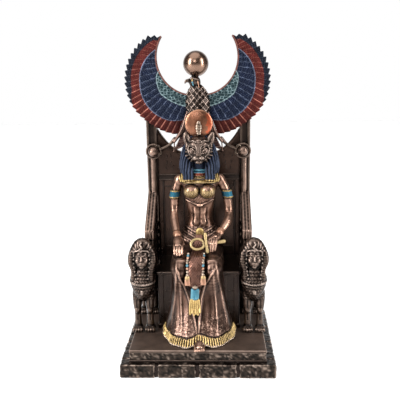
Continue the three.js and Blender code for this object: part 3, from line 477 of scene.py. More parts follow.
def goddess_head():
    """Wig, lioness head, sun disc and cobra."""
    clay = Clay([-20, -12, 124], [20, 28, 190], HEAD_VOXEL)
    # Wig: the mass behind the ears and a lappet on each side in front
    clay.add(stack([[127.5, 18, 14.2, 6.2], [134, 17, 16.6, 8.2],
        [142, 16, 17.4, 9.8], [153, 15.6, 15, 10], [162, 15.8, 11, 8], [166.5, 16, 5.6, 4.6]]), "wig")
    lappet = [[11.2, 9.6, 156], [11.9, 7, 149], [10.2, 3.8, 140], [9.2, 2.6, 132]]
    clay.add(chain(lappet, [2.8, 3.9, 4.7, 4.4], (1, 0.7, 1)), "wig", 1.2, both=True)
    clay.cut(rounded_box([-22, -8, 120], [22, 8.6, LAPPET_END], 0.2), 0.3)

    def strands(x, y, z):
        """Locks of hair that fall from the crown."""
        around = np.arctan2(x, 19 - y)
        return 0.36 * np.cos(around * 58 + 0.4 * np.sin(z * 0.7)) - 0.14

    clay.emboss([-20, -6, 126], [20, 28, 166], strands, ["wig"])
    clay.emboss([-20, -6, LAPPET_END], [20, 9, LAPPET_END + 3],
        lambda x, y, z: 0.45 * bump_at(z, LAPPET_END + 1, 1) * np.cos(x * 3) ** 2,
        ["wig"], {"gold": lambda x, y, z: (z < LAPPET_END + 2) & (y < 8)})
    clay.add(stack([[128, 12, 7, 6], [137, 11, 6, 5.6], [146, 9.5, 6.4, 6], [149, 9, 6.6, 6]]), "wig")
    # Skull, cheeks, jaw and muzzle
    clay.add(ellipsoid([0, 8.8, 156.2], [10.7, 10.4, 10.6]), "face", 1)
    clay.add(ellipsoid([4.9, 3.6, 153], [4.7, 5.2, 4.8]), "face", 2, both=True)
    clay.add(ellipsoid([0, 2.6, 148.2], [5.6, 5.6, 4.2]), "face", 1.6)
    clay.add(chain([[0, 5, 154.6], [0, -1.4, 151.6], [0, -4.6, 150]], [6.2, 4.9, 3.4]), "face", 1.4)
    clay.add(chain([[0, 1, 162], [0, -2.8, 157], [0, -6.4, 153]], [2.8, 2.3, 2.1], (1.15, 1, 1)),
        "face", 1.2)
    # Muzzle pads in the rubbed paint: buffed bronze with a painted highlight.
    clay.add(ellipsoid([2.5, -5.4, 149.6], [2.9, 3.5, 2.3]), "rubbed_highlight", 0.9, both=True)
    clay.add(ellipsoid([0, -3.4, 145.9], [3.1, 3.4, 2]), "face", 0.8)
    clay.add(ellipsoid([0, -8, 152.3], [2.2, 1.2, 1.3]), "dark", 0.4)
    # Brows, deep eyes with their lids, the mouth and the lines beside the nose
    clay.add(chain([[1.7, -2.6, 158.8], [4.6, -1.7, 160.6], [8.4, 1.6, 160]], [1.5, 1.8, 1.2]),
        "face", 1, both=True)
    clay.cut(ellipsoid([4.3, -3.4, 157.2], [2.9, 2.6, 1.7]), 0.6, both=True)
    # The sockets round the eyes are painted dark: the eyes' own dark paint, with painted shade in the
    # sockets.
    clay.emboss([-9, -6, 154], [9, 4, 160], lambda x, y, z: 0,
        ["face"], {"dark": lambda x, y, z: ((abs(x) - 4.5) / 3.2) ** 2 + ((z - 157.1) / 1.7) ** 2 < 1})
    clay.add(ellipsoid([4.2, -1.1, 157.1], [1.7, 1.2, 1.15]), "dark", 0.1, both=True)
    clay.add(chain([[1.7, -2.8, 155.9], [4.1, -2.6, 158.1], [7.2, 0, 158.9]], 0.45),
        "face", 0.3, both=True)
    clay.add(chain([[1.7, -2.8, 155.8], [4.4, -2, 155.4], [7.1, 0, 157.2]], 0.42), "face", 0.3, both=True)
    clay.cut(chain([[4.6, -5.4, 146.9], [2.6, -7.8, 147.3], [0, -8.2, 148.5]], 0.6), 0.3, both=True)
    clay.cut(rod([[0, -9.4, 151.4], [0, -8.4, 148.2]], 0.45), 0.3)
    clay.cut(chain([[2.3, -4, 154.4], [3.9, -4.2, 152.4], [6.2, -2.4, 150.2]], 0.5), 0.5, both=True)

    def fur(x, y, z):
        """Rows of whisker pits on the muzzle and fine hair over the brow and cheeks."""
        pits = 0.12 * np.cos(x * 4.2) * np.cos(z * 4.4) * (y < -4)
        hair = 0.08 * np.cos(np.sqrt((abs(x) - 2) ** 2 + (z - 152) ** 2) * 3.8) * (y >= -4)
        return pits + hair

    clay.emboss([-12, -10, 145], [12, 8, 168], fur, ["face"])
    # The ruff round the face, and its tufts
    ruff = [[10.2, 6, 160], [10.2, 5.4, 155], [8.2, 4.4, 150.4], [5, 3, 147.4]]
    clay.add(chain(ruff, [0.9, 1.1, 1, 0.6]), "face", 0.5, both=True)
    # Ridges in the rubbed paint: buffed bronze with a painted highlight
    beside_nose = [[2.4, -2.9, 160.4], [1.7, -5.2, 156.4], [2.1, -7.4, 152.8]]
    round_cheek = [[8, -0.2, 159], [8.9, 1, 156], [8, -1, 152.6], [5.6, -4.6, 150.4]]
    over_brow = [[2.6, -1.6, 162.4], [5, -0.6, 163.2], [7.6, 1.6, 162.6], [8.8, 4, 165]]
    for ridge in (beside_nose, round_cheek, over_brow):
        clay.add(chain(ridge, 0.55), "rubbed_highlight", 0.4, both=True)
    for angle in (-48, -32, -16, 0, 14):
        turn = math.radians(angle)
        root = [8 * math.cos(turn), 2.4, 154 + 9 * math.sin(turn)]
        tip = [11.4 * math.cos(turn), 4.4, 153.4 + 12 * math.sin(turn)]
        clay.add(rod([root, tip], [1.3, 0.5]), "face", 0.4, both=True)
    ear = [[8.9, 8, 160.6], [10.5, 7.8, 165], [11.5, 7.6, 168.4]]
    clay.add(chain(ear, [3.5, 2.9, 1.4], (1, 0.6, 1)), "face", 0.8, both=True)
    hollow = [[9.4, 5.2, 161.8], [10.5, 5.4, 164.6], [11.2, 5.8, 166.6]]
    clay.cut(chain(hollow, [1.4, 1.1, 0.5]), 0.3, both=True)
    # Sun disc, redder on her left, and the cobra in front of it
    centre, radius = np.array([0.0, 10.0, 176.8]), 11.7

    def lens(x, y, z):
        """The disc, domed in front and behind."""
        flat = np.sqrt((x - centre[0]) ** 2 + (z - centre[2]) ** 2)
        dome = 3.0 * np.sqrt(np.clip(1 - (flat / (radius + 0.6)) ** 2, 0, 1))
        return np.maximum(abs(y - centre[1]) - dome, flat - radius) * 0.8

    reach = np.array([radius, 3.4, radius])
    clay.add((lens, centre - reach, centre + reach), "sun", 0.3)
    clay.emboss(centre - reach, centre + reach, lambda x, y, z: 0,
        ["sun"], {"flame": lambda x, y, z: x + 0.9 * np.sin(z * 0.9) + 0.5 * np.sin(z * 2.3) > 6.8})
    cobra = [[0, 5.4, 168.6], [0, 5.8, 171], [0, 5.9, 174], [0, 5.4, 176.8], [0, 4.6, 178]]
    clay.add(chain(cobra, [1.5, 2, 2.4, 1.7, 1.3], (1.1, 0.6, 1)), "lace", 0.3)
    clay.emboss([-3, 2, 168], [3, 8, 176], lambda x, y, z: 0.1 * np.cos(z * 2.8), ["lace"])
    clay.skin("goddess_head", "goddess", [GODDESS_X, 0, STANDING], rub_and_shade=2.8)


def arm_points(side):
    """Shoulder, armlet, elbow, forearm and wrist."""
    if side < 0:
        return np.array([[-17.8, 13.5, 128], [-21, 13, 118],
            [-22.6, 12.6, 102], [-21.8, 4, 92], [-18.8, -8, 83.4]])
    return np.array([[17.5, 13.5, 128.5], [22.7, 13, 118],
        [25.4, 12.6, 100], [23.6, 3, 92.5], [17.4, -6, 85.5]])


def hand(clay, palm, fingers, spread, thumb):
    """A palm with four fingers side by side and a thumb."""
    clay.add(chain(palm, [2.8, 3.7, 3.4], (1.1, 0.8, 0.66)), "skin", 0.8)
    fingers = np.array(fingers)
    for place in (-1.5, -0.5, 0.5, 1.5):
        reach = fingers + np.array([place * spread, 0, 0])
        reach[2] = reach[2] + [0, 0.5 * abs(place), 0.9 * abs(place)]
        clay.add(chain(reach, [1.25, 1.15, 0.9]), "skin", 0.1)
    clay.add(rod(thumb, [1.45, 1.0]), "skin", 0.3)


def goddess_arms(clay):
    """Both arms with armlets, bracelets and the cords over the shoulders."""
    armlets = {-1: ([-21.2, 13, 118.8], [-22.1, 13, 113.2]), 1: ([22.9, 13, 118.8], [24.4, 13, 113.4])}
    bracelets = {-1: ([-19.4, -6.2, 85], [-18.9, -7.8, 83.8], 3.3),
        1: ([18.2, -4.4, 87], [17.3, -6.2, 85.8], 3.2)}
    for side in (-1, 1):
        clay.add(ellipsoid([side * 17.2, 13.5, 127.6], [4.9, 4.9, 5]), "skin", 2)
        clay.add(chain(arm_points(side), [4.5, 4, 3.6, 3.7, 2.6]), "skin", 1)
        top, foot = (np.array(end) for end in armlets[side])
        clay.add(rod([top, foot], 4.55, (1, 1, 0.2)), "turquoise", 0.1)
        for end in (top, foot):
            clay.add(rod([end, end + (foot - top) * 0.08], 4.85, (1, 1, 0.16)), "gold", 0.1)
        near, far, width = bracelets[side]
        clay.add(rod([near, far], width, (1, 1, 0.9)), "copper", 0.2)
        # Three cords over the shoulder
        for k in range(3):
            out = side * (12.8 + 1.7 * k)
            cord = [[out, 5.8 + 0.9 * k, 127.6], [out + side * 0.8, 12, 134.6 - 1.3 * k],
                [out, 19.4, 129]]
            clay.add(chain(cord, 0.75), "gold", 0.2)


def goddess_body():
    """Torso, arms, collar, hips, hands and ankh."""
    clay = Clay([-32, -27, 68], [33, 25, 140], BODY_VOXEL)
    clay.add(stack([[70, 13, 18.4, 13.6], [76, 13, 17.8, 12.4], [85, 13, 14.4, 10], [95, 13, 10.7, 7.8],
        [108, 13, 12.6, 8.5], [123, 13, 15.6, 9], [129, 13.5, 17.2, 7.5],
        [132.5, 14, 13, 6.2], [139, 12.6, 6.4, 5.4]]), "skin")
    goddess_arms(clay)
    # Bust: bronze above, gilt below, under a trim that runs from side to side
    clay.add(ellipsoid([7, 5.2, 119.4], [6.9, 6.5, 6.2]), "skin", 0.5, both=True)

    def chased(x, y, z):
        """A fine pattern over the lower part of the bust."""
        return 0.13 * np.cos(x * 2.9 + np.sin(z * 2)) * np.cos(z * 2.7) * (z < 121)

    def gilded(x, y, z):
        """The round of the bust, below the skin's curved edge."""
        return ((abs(x) - 7) ** 2 + (z - 119.4) ** 2 < 40) & (z < 120.4 + 0.1 * (abs(x) - 7) ** 2)

    clay.emboss([-15, -3, 112], [15, 8, 127], chased, ["skin"], {"halter": gilded})
    clay.add(chain([[13.6, 8, 126.2], [8, 4, 127], [0, 3.2, 127]], 0.6), "halter", 0.2, both=True)
    # Stomach: the ribs' edge with its lozenge, the middle line, the muscles beside it and the navel
    clay.add(chain([[12, 7.4, 111.6], [6.6, 4.8, 109.4], [0, 4.4, 106.8]], [0.4, 0.5, 0.7]),
        "cloth", 0.9, both=True)
    clay.add(ellipsoid([0, 3.9, 107.2], [2.6, 1.1, 1.5]), "skin", 0.5)
    clay.cut(chain([[0, 4.2, 104], [0, 4.7, 97], [0, 3.9, 91.6]], 0.55), 1.6)
    clay.add(ellipsoid([3.1, 6.6, 101], [2.4, 1.9, 3.4]), "skin", 2.6, both=True)
    clay.add(ellipsoid([3, 6.4, 94.4], [2.4, 1.9, 3.2]), "skin", 2.6, both=True)
    clay.cut(ellipsoid([0, 3.4, 90.4], [0.9, 1.4, 1.3]), 0.5)
    clay.cut(chain([[6.6, 5, 104], [6.2, 5.7, 97], [6.6, 4.8, 91]], 0.3), 2.2, both=True)
    clay.add(ellipsoid([3.2, 5.4, 91.6], [2.4, 1.7, 2.8]), "skin", 1.6, both=True)
    # Broad collar in bands
    clay.add(stack([[127.4, 12.2, 11, 9], [131, 12.4, 11, 8.8],
        [134, 12.6, 9.2, 8], [139, 12, 6.8, 6.6]]), "dark", 0.4)

    def beading(x, y, z):
        """Rows round the collar, one of them beaded."""
        return 0.25 * np.cos(z * 2.6) + 0.12 * np.cos(x * 4) * between(z, 130.6, 132.4)

    collar = {
        "turquoise": lambda x, y, z: between(z, 135.4, 138.6),
        "flame": lambda x, y, z: between(z, 133, 135),
        "gold": lambda x, y, z: between(z, 130.8, 132.6) | (z < 129.2),
    }
    clay.emboss([-13, 1, 126], [13, 22, 140], beading, ["dark"], collar)
    # Hips: a scalloped cloth with corded edges that meet at the buckle
    clay.add(stack([[68, 12.4, 19, 14.4], [76, 12.6, 18.4, 13.4],
        [84, 12.7, 15.6, 11], [88, 13, 13, 9.2]]), "cloth", 0.4)

    def scallops(x, y, z):
        """Three cords that fall to the middle in a V, with scalloped cloth between them."""
        level = z - 0.42 * abs(x)
        cords = sum(bump_at(level, cord, 0.75) for cord in (73.5, 78, 82.5))
        return 0.6 * cords + 0.3 * abs(np.sin(level * 1.4)) * abs(np.cos(x * 0.9)) - 0.15

    clay.emboss([-20, -3, 68], [20, 27, 92], scallops, ["cloth"])
    clay.add(ellipsoid([0, -0.6, 84.5], [3.6, 1.9, 4]), "gold", 0.3)
    for place in (-1.7, 0, 1.7):
        clay.cut(rod([[place, -2.6, 87], [place * 0.7, -2.8, 82.4]], 0.35), 0.2)
    hand(clay, [[-18.6, -8, 83.2], [-18, -13.6, 80], [-17.6, -17.6, 77.6]],
        [[-17.6, -16.8, 78], [-17.4, -21.6, 75.6], [-17.2, -24.6, 70.8]],
        2.1, [[-15.6, -11.5, 81.4], [-13.2, -16.4, 78]])
    hand(clay, [[16.8, -7, 85], [13.4, -11.5, 82.4], [11, -15, 79.8]],
        [[11.6, -15.4, 82.6], [10.8, -19.4, 79.6], [10, -19.8, 72.6]],
        2.0, [[13.6, -12.6, 84], [8.2, -17, 82.2]])
    # Ankh: the loop, the crossbar and the stem
    loop = [[-1.4 + 5.6 * math.cos(a), -19.8 + 2.0 * math.sin(a),
        79.4 + 3.9 * math.sin(a)] for a in np.linspace(0, 2 * math.pi, 25)]
    clay.add(rod(loop, 1.1), "ankh", 0.1)
    clay.add(chain([[5, -18, 87.6], [5.9, -20.6, 80], [6.8, -21, 73.2]], [1.5, 1.05, 1.45]), "ankh", 0.2)
    clay.add(chain([[3.6, -19.8, 79.8], [12, -16.8, 79.6], [20.6, -13.4, 80]], [1.15, 1.2, 1.7]),
        "ankh", 0.2)
    clay.skin("goddess_body", "goddess", [GODDESS_X, 0, STANDING])


SKIRT_TOP = 66.0
STEP_FRONT = 51.5
SEAT_FRONT = -10.2
SEAT_TOP = 51.9
# The two folds that fall from the knees to the middle: rising heights, and how far across each lies there
FOLD_LEVELS = (8, 20, 38, 48, 56, 64)
LEFT_FOLD = (-1.6, -3.6, -9.2, -13, -16.4, -18.8)
RIGHT_FOLD = (-0.6, -0.6, 1.6, 4.6, 9, 14.2)


def skirt_shape():
    """The skirt from the hips to a flared hem, with a hollow between the two folds."""
    rear = -8.0

    def distance(x, y, z):
        t = np.clip(1 - z / SKIRT_TOP, 0, 1)
        middle = -2.6 + 1.6 * t
        half = 21.2 + 4.6 * t + 6.2 * t**5
        front = -23.5 + 4 * np.sin(t * np.pi * 0.9) * (1 - t) - 1.5 * t - 16.4 * t**2.4
        ahead, behind = np.minimum(y - rear, 0), np.maximum(y - rear, 0)
        across = (x - middle) / half
        angle = np.arctan2(ahead / front, across)
        fold = 1 + 0.012 * t * np.sin(angle * 14 + 0.8) + 0.008 * np.sin(angle * 7 + 2 + 3 * t)
        left, right = np.interp(z, FOLD_LEVELS, LEFT_FOLD), np.interp(z, FOLD_LEVELS, RIGHT_FOLD)
        share = np.clip((x - left) / (right - left), 0, 1)
        depth = 0.13 * np.clip((right - left) / 14, 0, 1)
        fold = fold - depth * np.sin(share * np.pi) ** 0.8 * (ahead < 0)
        fold = fold - 0.1 * np.clip((z - 58) / 8, 0, 1) ** 2
        reach = (abs(across) ** 2.3 + abs(ahead / front) ** 2.3) ** (1 / 2.3)
        side = (reach - fold) * np.minimum(half, abs(front)) * 0.82
        return np.maximum(np.maximum(side, behind - 2), np.maximum(z - SKIRT_TOP, hem(x) - z))

    return distance, np.array([-34, -56, 0]), np.array([34, -5, SKIRT_TOP])


def hem(x):
    """The hem's lower edge lifts over the foot."""
    return 4 * np.exp(-(((x - 1) / 7) ** 2))


def drape(x, y, z):
    """Folds from the knees to the middle and out to the hem, faint pleats, and a speckled lower part."""
    front = np.clip((-12 - y) / 6, 0, 1)
    left, right = np.interp(z, FOLD_LEVELS, LEFT_FOLD), np.interp(z, FOLD_LEVELS, RIGHT_FOLD)
    fade = np.clip((z - 8) / 10, 0, 1) * np.clip((68 - z) / 8, 0, 1)
    folds = 1.1 * (bump_at(x, left, 1.0) + bump_at(x, right, 1.2)) * fade
    t = 1 - np.clip(z, 0, SKIRT_TOP) / SKIRT_TOP
    outer = 0.55 * (bump_at(x, -18.6 - 8 * t**1.5, 1.1) + bump_at(x, 14.2 + 12.4 * t**1.2, 1.1)) * fade
    second = 0.35 * (bump_at(x, -16.5 + 2 * t, 1) + bump_at(x, 11 + 5 * t, 1)) * fade
    pleats = 0.05 * np.cos(x * 1.3 + 0.9 * np.sin(z * 0.15)) * t
    rough = np.cos(x * 2.7 + 2 * np.sin(z * 1.7)) * np.cos(z * 2.9 + 2 * np.sin(x * 1.9 + y))
    speckle = 0.32 * np.clip(rough - 0.3, 0, 1) * np.clip((27 - z) / 8, 0, 1)
    return (folds + outer + second) * front + pleats * (y < -4) + speckle


def goddess_skirt():
    """Lap, knees and skirt, with its hem, apron, tassel, pendants and the foot."""
    clay = Clay([-34, -58, -2], [34, 26, 84], SKIRT_VOXEL)
    clay.add(skirt_shape(), "cloth")
    for hip, knee in ((-10, -15.8), (9, 11)):
        middle = (hip + knee) / 2
        thigh = [[hip, 13, 64], [middle, -4, 63.5],
            [knee, -23, 61.5], [knee - 0.2, -26.5, 54], [knee - 0.2, -24, 44]]
        clay.add(chain(thigh, [11, 10, 8.1, 6.2, 4.5]), "cloth", 4)
    clay.add(chain([[-1, 12, 62], [-2, -6, 61], [-2.6, -22, 56]], [10, 9, 6], (1.25, 1, 1)), "cloth", 5)
    clay.add(stack([[40, 11, 18, 13], [60, 12, 19.6, 14],
        [70, 12.4, 19, 13.8], [78, 12.6, 17.8, 12.8], [82, 12.8, 16.4, 11.6]]), "cloth", 3)
    clay.emboss([-34, -58, 0], [34, 20, 80], drape, ["cloth"])
    ribs = lambda x, y: np.cos(130 * np.arctan2(x + 1, -(y + 4)))

    def ribbed_band(x, y, z):
        """A band of ribs along the hem, with a cord below it and a groove above."""
        rise = z - hem(x)
        band = np.where(between(rise, 0.9, 6), 0.25 + 0.45 * ribs(x, y), 0)
        return band + 0.5 * bump_at(rise, 0.4, 0.6) - 0.5 * bump_at(rise, 6.6, 0.5)

    border = {
        "gold": lambda x, y, z: between(z - hem(x), 1, 6) & (ribs(x, y) > -0.1),
        "lace": lambda x, y, z: z - hem(x) < 1,
    }
    clay.emboss([-34, -58, -2], [34, 0, 12], ribbed_band, ["cloth"], border)
    # Apron and the tassel below it, in two blue halves over a gilt fringe
    apron = [[-0.6, -2, 82], [-1, -12, 74], [-1.6, -26, 69.6], [-2.4, -32, 63.6], [-3.2, -33.5, 49]]
    clay.add(chain(apron, [1.1, 1.5, 2.1, 2.1, 2.1], (3, 1, 1)), "apron", 0.5)
    woven = lambda x, y, z: 0.16 * np.cos(x * 3.2) * np.cos(z * 2.6)
    clay.emboss([-10, -38, 46], [7, -8, 76], woven, ["apron"])
    clay.add(ellipsoid([-3.4, -34.6, 47.6], [2.4, 1.6, 2]), "lace", 0.4)
    clay.add(rod([[-3.4, -34.2, 45], [-3.6, -36.6, 38.6]], 1.6, (2.2, 1, 1)), "turquoise", 0.2)
    clay.cut(rod([[-3.5, -36.2, 47], [-3.7, -38.8, 37]], 0.5), 0.2)
    for k in range(6):
        x = -7.6 + 1.6 * k
        foot = 25.4 + 1.5 * (k % 2) + 0.5 * abs(k - 2.5)
        strand = [[x * 0.85 - 0.6, -37.4, 37.6], [x, -39.2, 32], [x + 0.2, -41, foot]]
        clay.add(chain(strand, [0.7, 0.85, 0.85]), "gold", 0.05)
    for x, drop in ((-9.6, 0.4), (3.4, 0)):
        beads = smooth_path([[x + 0.6, -22, 72], [x, -31, 67], [x, -34, 58 - drop]], 4)
        for k, place in enumerate(beads):
            clay.add(ellipsoid(place, [1.2, 1.3, 1.1]),
                ("lace", "turquoise", "copper", "lace")[k % 4], 0.2)
        clay.add(ellipsoid([x, -34.2, 55.4 - drop], [2.2, 1.7, 2.3]), "halter", 0.2)
        for lean in (-1.5, 0, 1.5):
            petal = [[x + lean * 0.7, -34.6, 54 - drop], [x + lean, -35, 49.8 - drop]]
            clay.add(rod(petal, [1.1, 0.8]), "copper", 0.2)
    # Foot in its sandal
    clay.add(chain([[0.4, -36, 4], [0.4, -45, 3.4], [0.2, -50.5, 2.2]], [3.6, 3.4, 2.4], (1.25, 1, 0.9)),
        "skin", 0.5)
    for k, x in enumerate((-3.3, -1.5, 0.3, 2, 3.5)):
        clay.add(rod([[x, -49.2, 2.2], [x, -53.8 + 0.3 * k, 0.9]], [1.15, 1.0]), "skin", 0.15)
    clay.cut(rounded_box([-40, -STEP_FRONT - 0.2, -6], [40, 30, 0], 0.05), 0.05)
    clay.cut(rounded_box([-40, SEAT_FRONT - 0.2, -6], [40, 40, SEAT_TOP], 0.05), 0.05)
    clay.skin("goddess_skirt", "goddess", [GODDESS_X, 0, STANDING], rub_and_shade=3.4, replaces="goddess")


# The sphinx: X from its middle, Y from its toes, Z from the soles


def sphinx_clay():
    """A standing sphinx, the same on both sides but for the cobra and the tail."""
    clay = Clay([-15, -4, 0], [15, 56, 84], SPHINX_VOXEL)
    spine = [[0, 7, 37], [0, 15, 38], [0, 27, 37.6], [0, 38, 37], [0, 43.5, 35.6]]
    clay.add(chain(spine, [8, 9.4, 8.8, 9, 8], (0.86, 1, 1)), "dark", 2)
    clay.add(stack([[27, 8.4, 5.2, 4.2], [33, 7, 7.4, 6.2], [39, 6.2, 9.5, 7],
        [45, 6.6, 10.8, 7.2], [50, 8, 10.4, 6.6], [57, 8.6, 5, 4.6], [60, 8.4, 4.4, 4.4]]), "dark", 1.4)
    fore = [[5.2, 8, 34], [5.4, 6.8, 25], [5.4, 7, 15], [5.3, 6.5, 4]]
    hind = [[5, 42, 36], [5.6, 40.6, 27], [5.4, 45.6, 17], [5.2, 46.4, 4]]
    clay.add(chain(fore, [4.6, 3.9, 2.8, 3.2]), "dark", 1.2, both=True)
    clay.add(chain(hind, [6.4, 5.8, 3, 2.8], (0.85, 1, 1)), "dark", 1.6, both=True)
    for y, wide in ((4.6, 4.3), (43, 3.7)):
        clay.add(rounded_box([5.3 - wide, y - 3.4, 0], [5.3 + wide, y + 5.2, 4.8], 2.2),
            "dark", 1, both=True)
        for place in (-1.5, -0.5, 0.5, 1.5):
            x, ahead = 5.3 + place * wide * 0.5, 0.5 - 0.3 * abs(place)
            toe = [[x, y - 1, 3.2], [x, y - 3.4 - ahead, 2.6], [x, y - 4 - ahead, 1.4]]
            clay.add(chain(toe, [1.2, 1.2, 1]), "dark", 0.12, both=True)
    clay.cut(chain([[5.5, 2.4, 30], [5.6, 2.8, 22], [5.4, 3.8, 11]], 0.6), 1, both=True)
    clay.add(ellipsoid([5.4, 4, 19], [2, 1.5, 2.4]), "dark", 1.2, both=True)
    # Scaled bib, string of beads and drop; the beads and the drop are in the rubbed paint, buffed bronze
    # with a painted highlight

    def scales(x, y, z):
        """Rows of scales."""
        return 0.34 * abs(np.sin(x * 1.3 + 0.9 * np.sin(z * 1.7))) * abs(np.sin(z * 1.2)) * (y < 7)

    clay.emboss([-12, -3, 31], [12, 7, 56], scales, ["dark"])
    clay.add(chain([[-9.8, 5.6, 42.2], [-6, -0.2, 41.4],
        [0, -1.4, 41], [6, -0.2, 41.4], [9.8, 5.6, 42.2]], 0.35), "dark", 0.3)
    for k in range(21):
        a = math.radians(-80 + 8 * k)
        bead = [10.8 * math.sin(a), 6.6 - 7.9 * math.cos(a), 43.4 + 2.4 * (1 - math.cos(a))]
        clay.add(ellipsoid(bead, [0.7, 0.7, 1.1]), "rubbed_highlight", 0.1)
    clay.add(ellipsoid([0, -0.9, 36.8], [1.5, 1.2, 2.5]), "rubbed_highlight", 0.3)
    # Headcloth: the dome, the wings beside the face and the lappets
    clay.add(stack([[47, 9.8, 8, 4.6], [52, 9.8, 8.6, 5], [55.6, 9.8, 10, 5.6], [58.6, 9.8, 12.3, 6.4],
        [62.5, 9.8, 12.9, 6.8], [66.5, 9.8, 12.6, 6.9], [72, 9.8, 10.8, 6.7],
        [77.6, 9.8, 7.8, 5.4], [80.4, 9.8, 5.3, 4.2], [82, 9.8, 2.4, 2]]), "dark", 0.6)
    lappet = [[9, 6.4, 69.5], [9.4, 4.5, 62.5], [7.8, 3.3, 55.6], [7.4, 2.7, 48.6]]
    clay.add(chain(lappet, [2.2, 2.7, 1.9, 2.3], (1, 0.7, 1)), "dark", 0.8, both=True)

    def pleats(x, y, z):
        """Stripes across the headcloth that fan out over the dome."""
        fan = np.cos(np.arctan2(abs(x), z - 66) * 26)
        rows = np.cos(z * 3.1)
        return np.where(z > 70.5, 0.14 * fan, 0.12 * rows) * ((abs(x) > 6) | (z > 73.5) | (y > 8))

    clay.emboss([-15, -3, 47], [15, 20, 83], pleats, ["dark"])
    # Beads along the headcloth's edge in the rubbed paint: buffed bronze with a painted highlight.
    edge = [[6.4, 2.6, 68.5], [6.8, 2.2, 62], [6, 1.2, 55], [5.2, 0.8, 48.6]]
    for k, place in enumerate(smooth_path(edge, 4)):
        if k % 2 == 0:
            clay.add(ellipsoid(place, [0.7, 0.7, 0.9]), "rubbed_highlight", 0.2, both=True)
    # A calm, general face
    clay.add(ellipsoid([0, 5.9, 66.2], [6.6, 6.2, 8.3]), "face", 0.4)
    clay.add(ellipsoid([0, 3.4, 61.9], [4.4, 3.8, 4.1]), "face", 1.4)
    clay.add(ellipsoid([0, 1, 58.9], [1.7, 1.5, 1.2]), "face", 0.8)
    clay.add(rod([[0, 0.2, 68], [0, -0.9, 65]], [0.7, 0.95]), "face", 0.4)
    clay.add(ellipsoid([0, -0.8, 64.6], [1.35, 0.8, 0.7]), "face", 0.3)
    clay.cut(ellipsoid([2.6, -0.2, 67.1], [1.8, 1.3, 1.05]), 0.4, both=True)
    clay.add(ellipsoid([2.6, 1, 67], [1.35, 0.8, 0.7]), "face", 0.15, both=True)
    clay.add(chain([[1, -0.2, 68.8], [2.8, -0.1, 69.4], [4.8, 1.4, 68.8]], 0.42), "face", 0.3, both=True)
    clay.add(chain([[-1.8, 0.2, 62.2], [0, -0.5, 62.6], [1.8, 0.2, 62.2]], 0.45), "face", 0.15)
    clay.add(chain([[-1.4, 0.2, 61.2], [0, -0.3, 61], [1.4, 0.2, 61.2]], 0.48), "face", 0.15)
    clay.add(ellipsoid([3.5, 2, 64.2], [1.8, 1.7, 1.9]), "face", 1, both=True)
    # Brow band and the reared cobra over it, in the rubbed paint: buffed bronze with a painted highlight
    clay.add(chain([[6.6, 4.2, 69], [5.6, 2.2, 72.4], [0, 0.6, 73.6]], 0.8), "rubbed_highlight", 0.3, both=True)
    cobra = [[0, 0, 72.4], [1.2, -0.7, 74.6], [-1, -0.3, 76.4], [0.8, 1.4, 78.4], [0, 3, 80]]
    clay.add(chain(cobra, 0.75), "rubbed_highlight", 0.2)
    clay.add(chain([[3, 49.6, 36], [5.4, 50, 27], [6.8, 49, 19], [7.6, 46.4, 13]], [1.3, 1.3, 1.2, 1.6]),
        "dark", 0.5)
    return clay


def sphinxes():
    """Cuts the back to fit the arm over it, and sets one sphinx on each side."""
    clay = sphinx_clay()
    corner = [-20, ARM_FRONT - GAP - SPHINX_Y, SIDE_PANEL_LOW - GAP - STANDING]
    clay.cut(rounded_box(corner, [20, 80, 120], 0.05), 0.05)
    for side, name in ((-1, "sphinx_left"), (1, "sphinx_right")):
        clay.skin(name + "_bronze", "sphinx", [side * SPHINX_X, SPHINX_Y, STANDING],
            flip=side < 0, replaces=name)


# The orb's middle above the falcon's eye, and the balls on the posts
ORB_RISE = 13.64
ORB_RADIUS = 11.0
BALL_X = HALF_BACK - 6.7
BALL_Y = POST_FRONT - 6.5
BALL_Z = STEP_TOP + 151.3


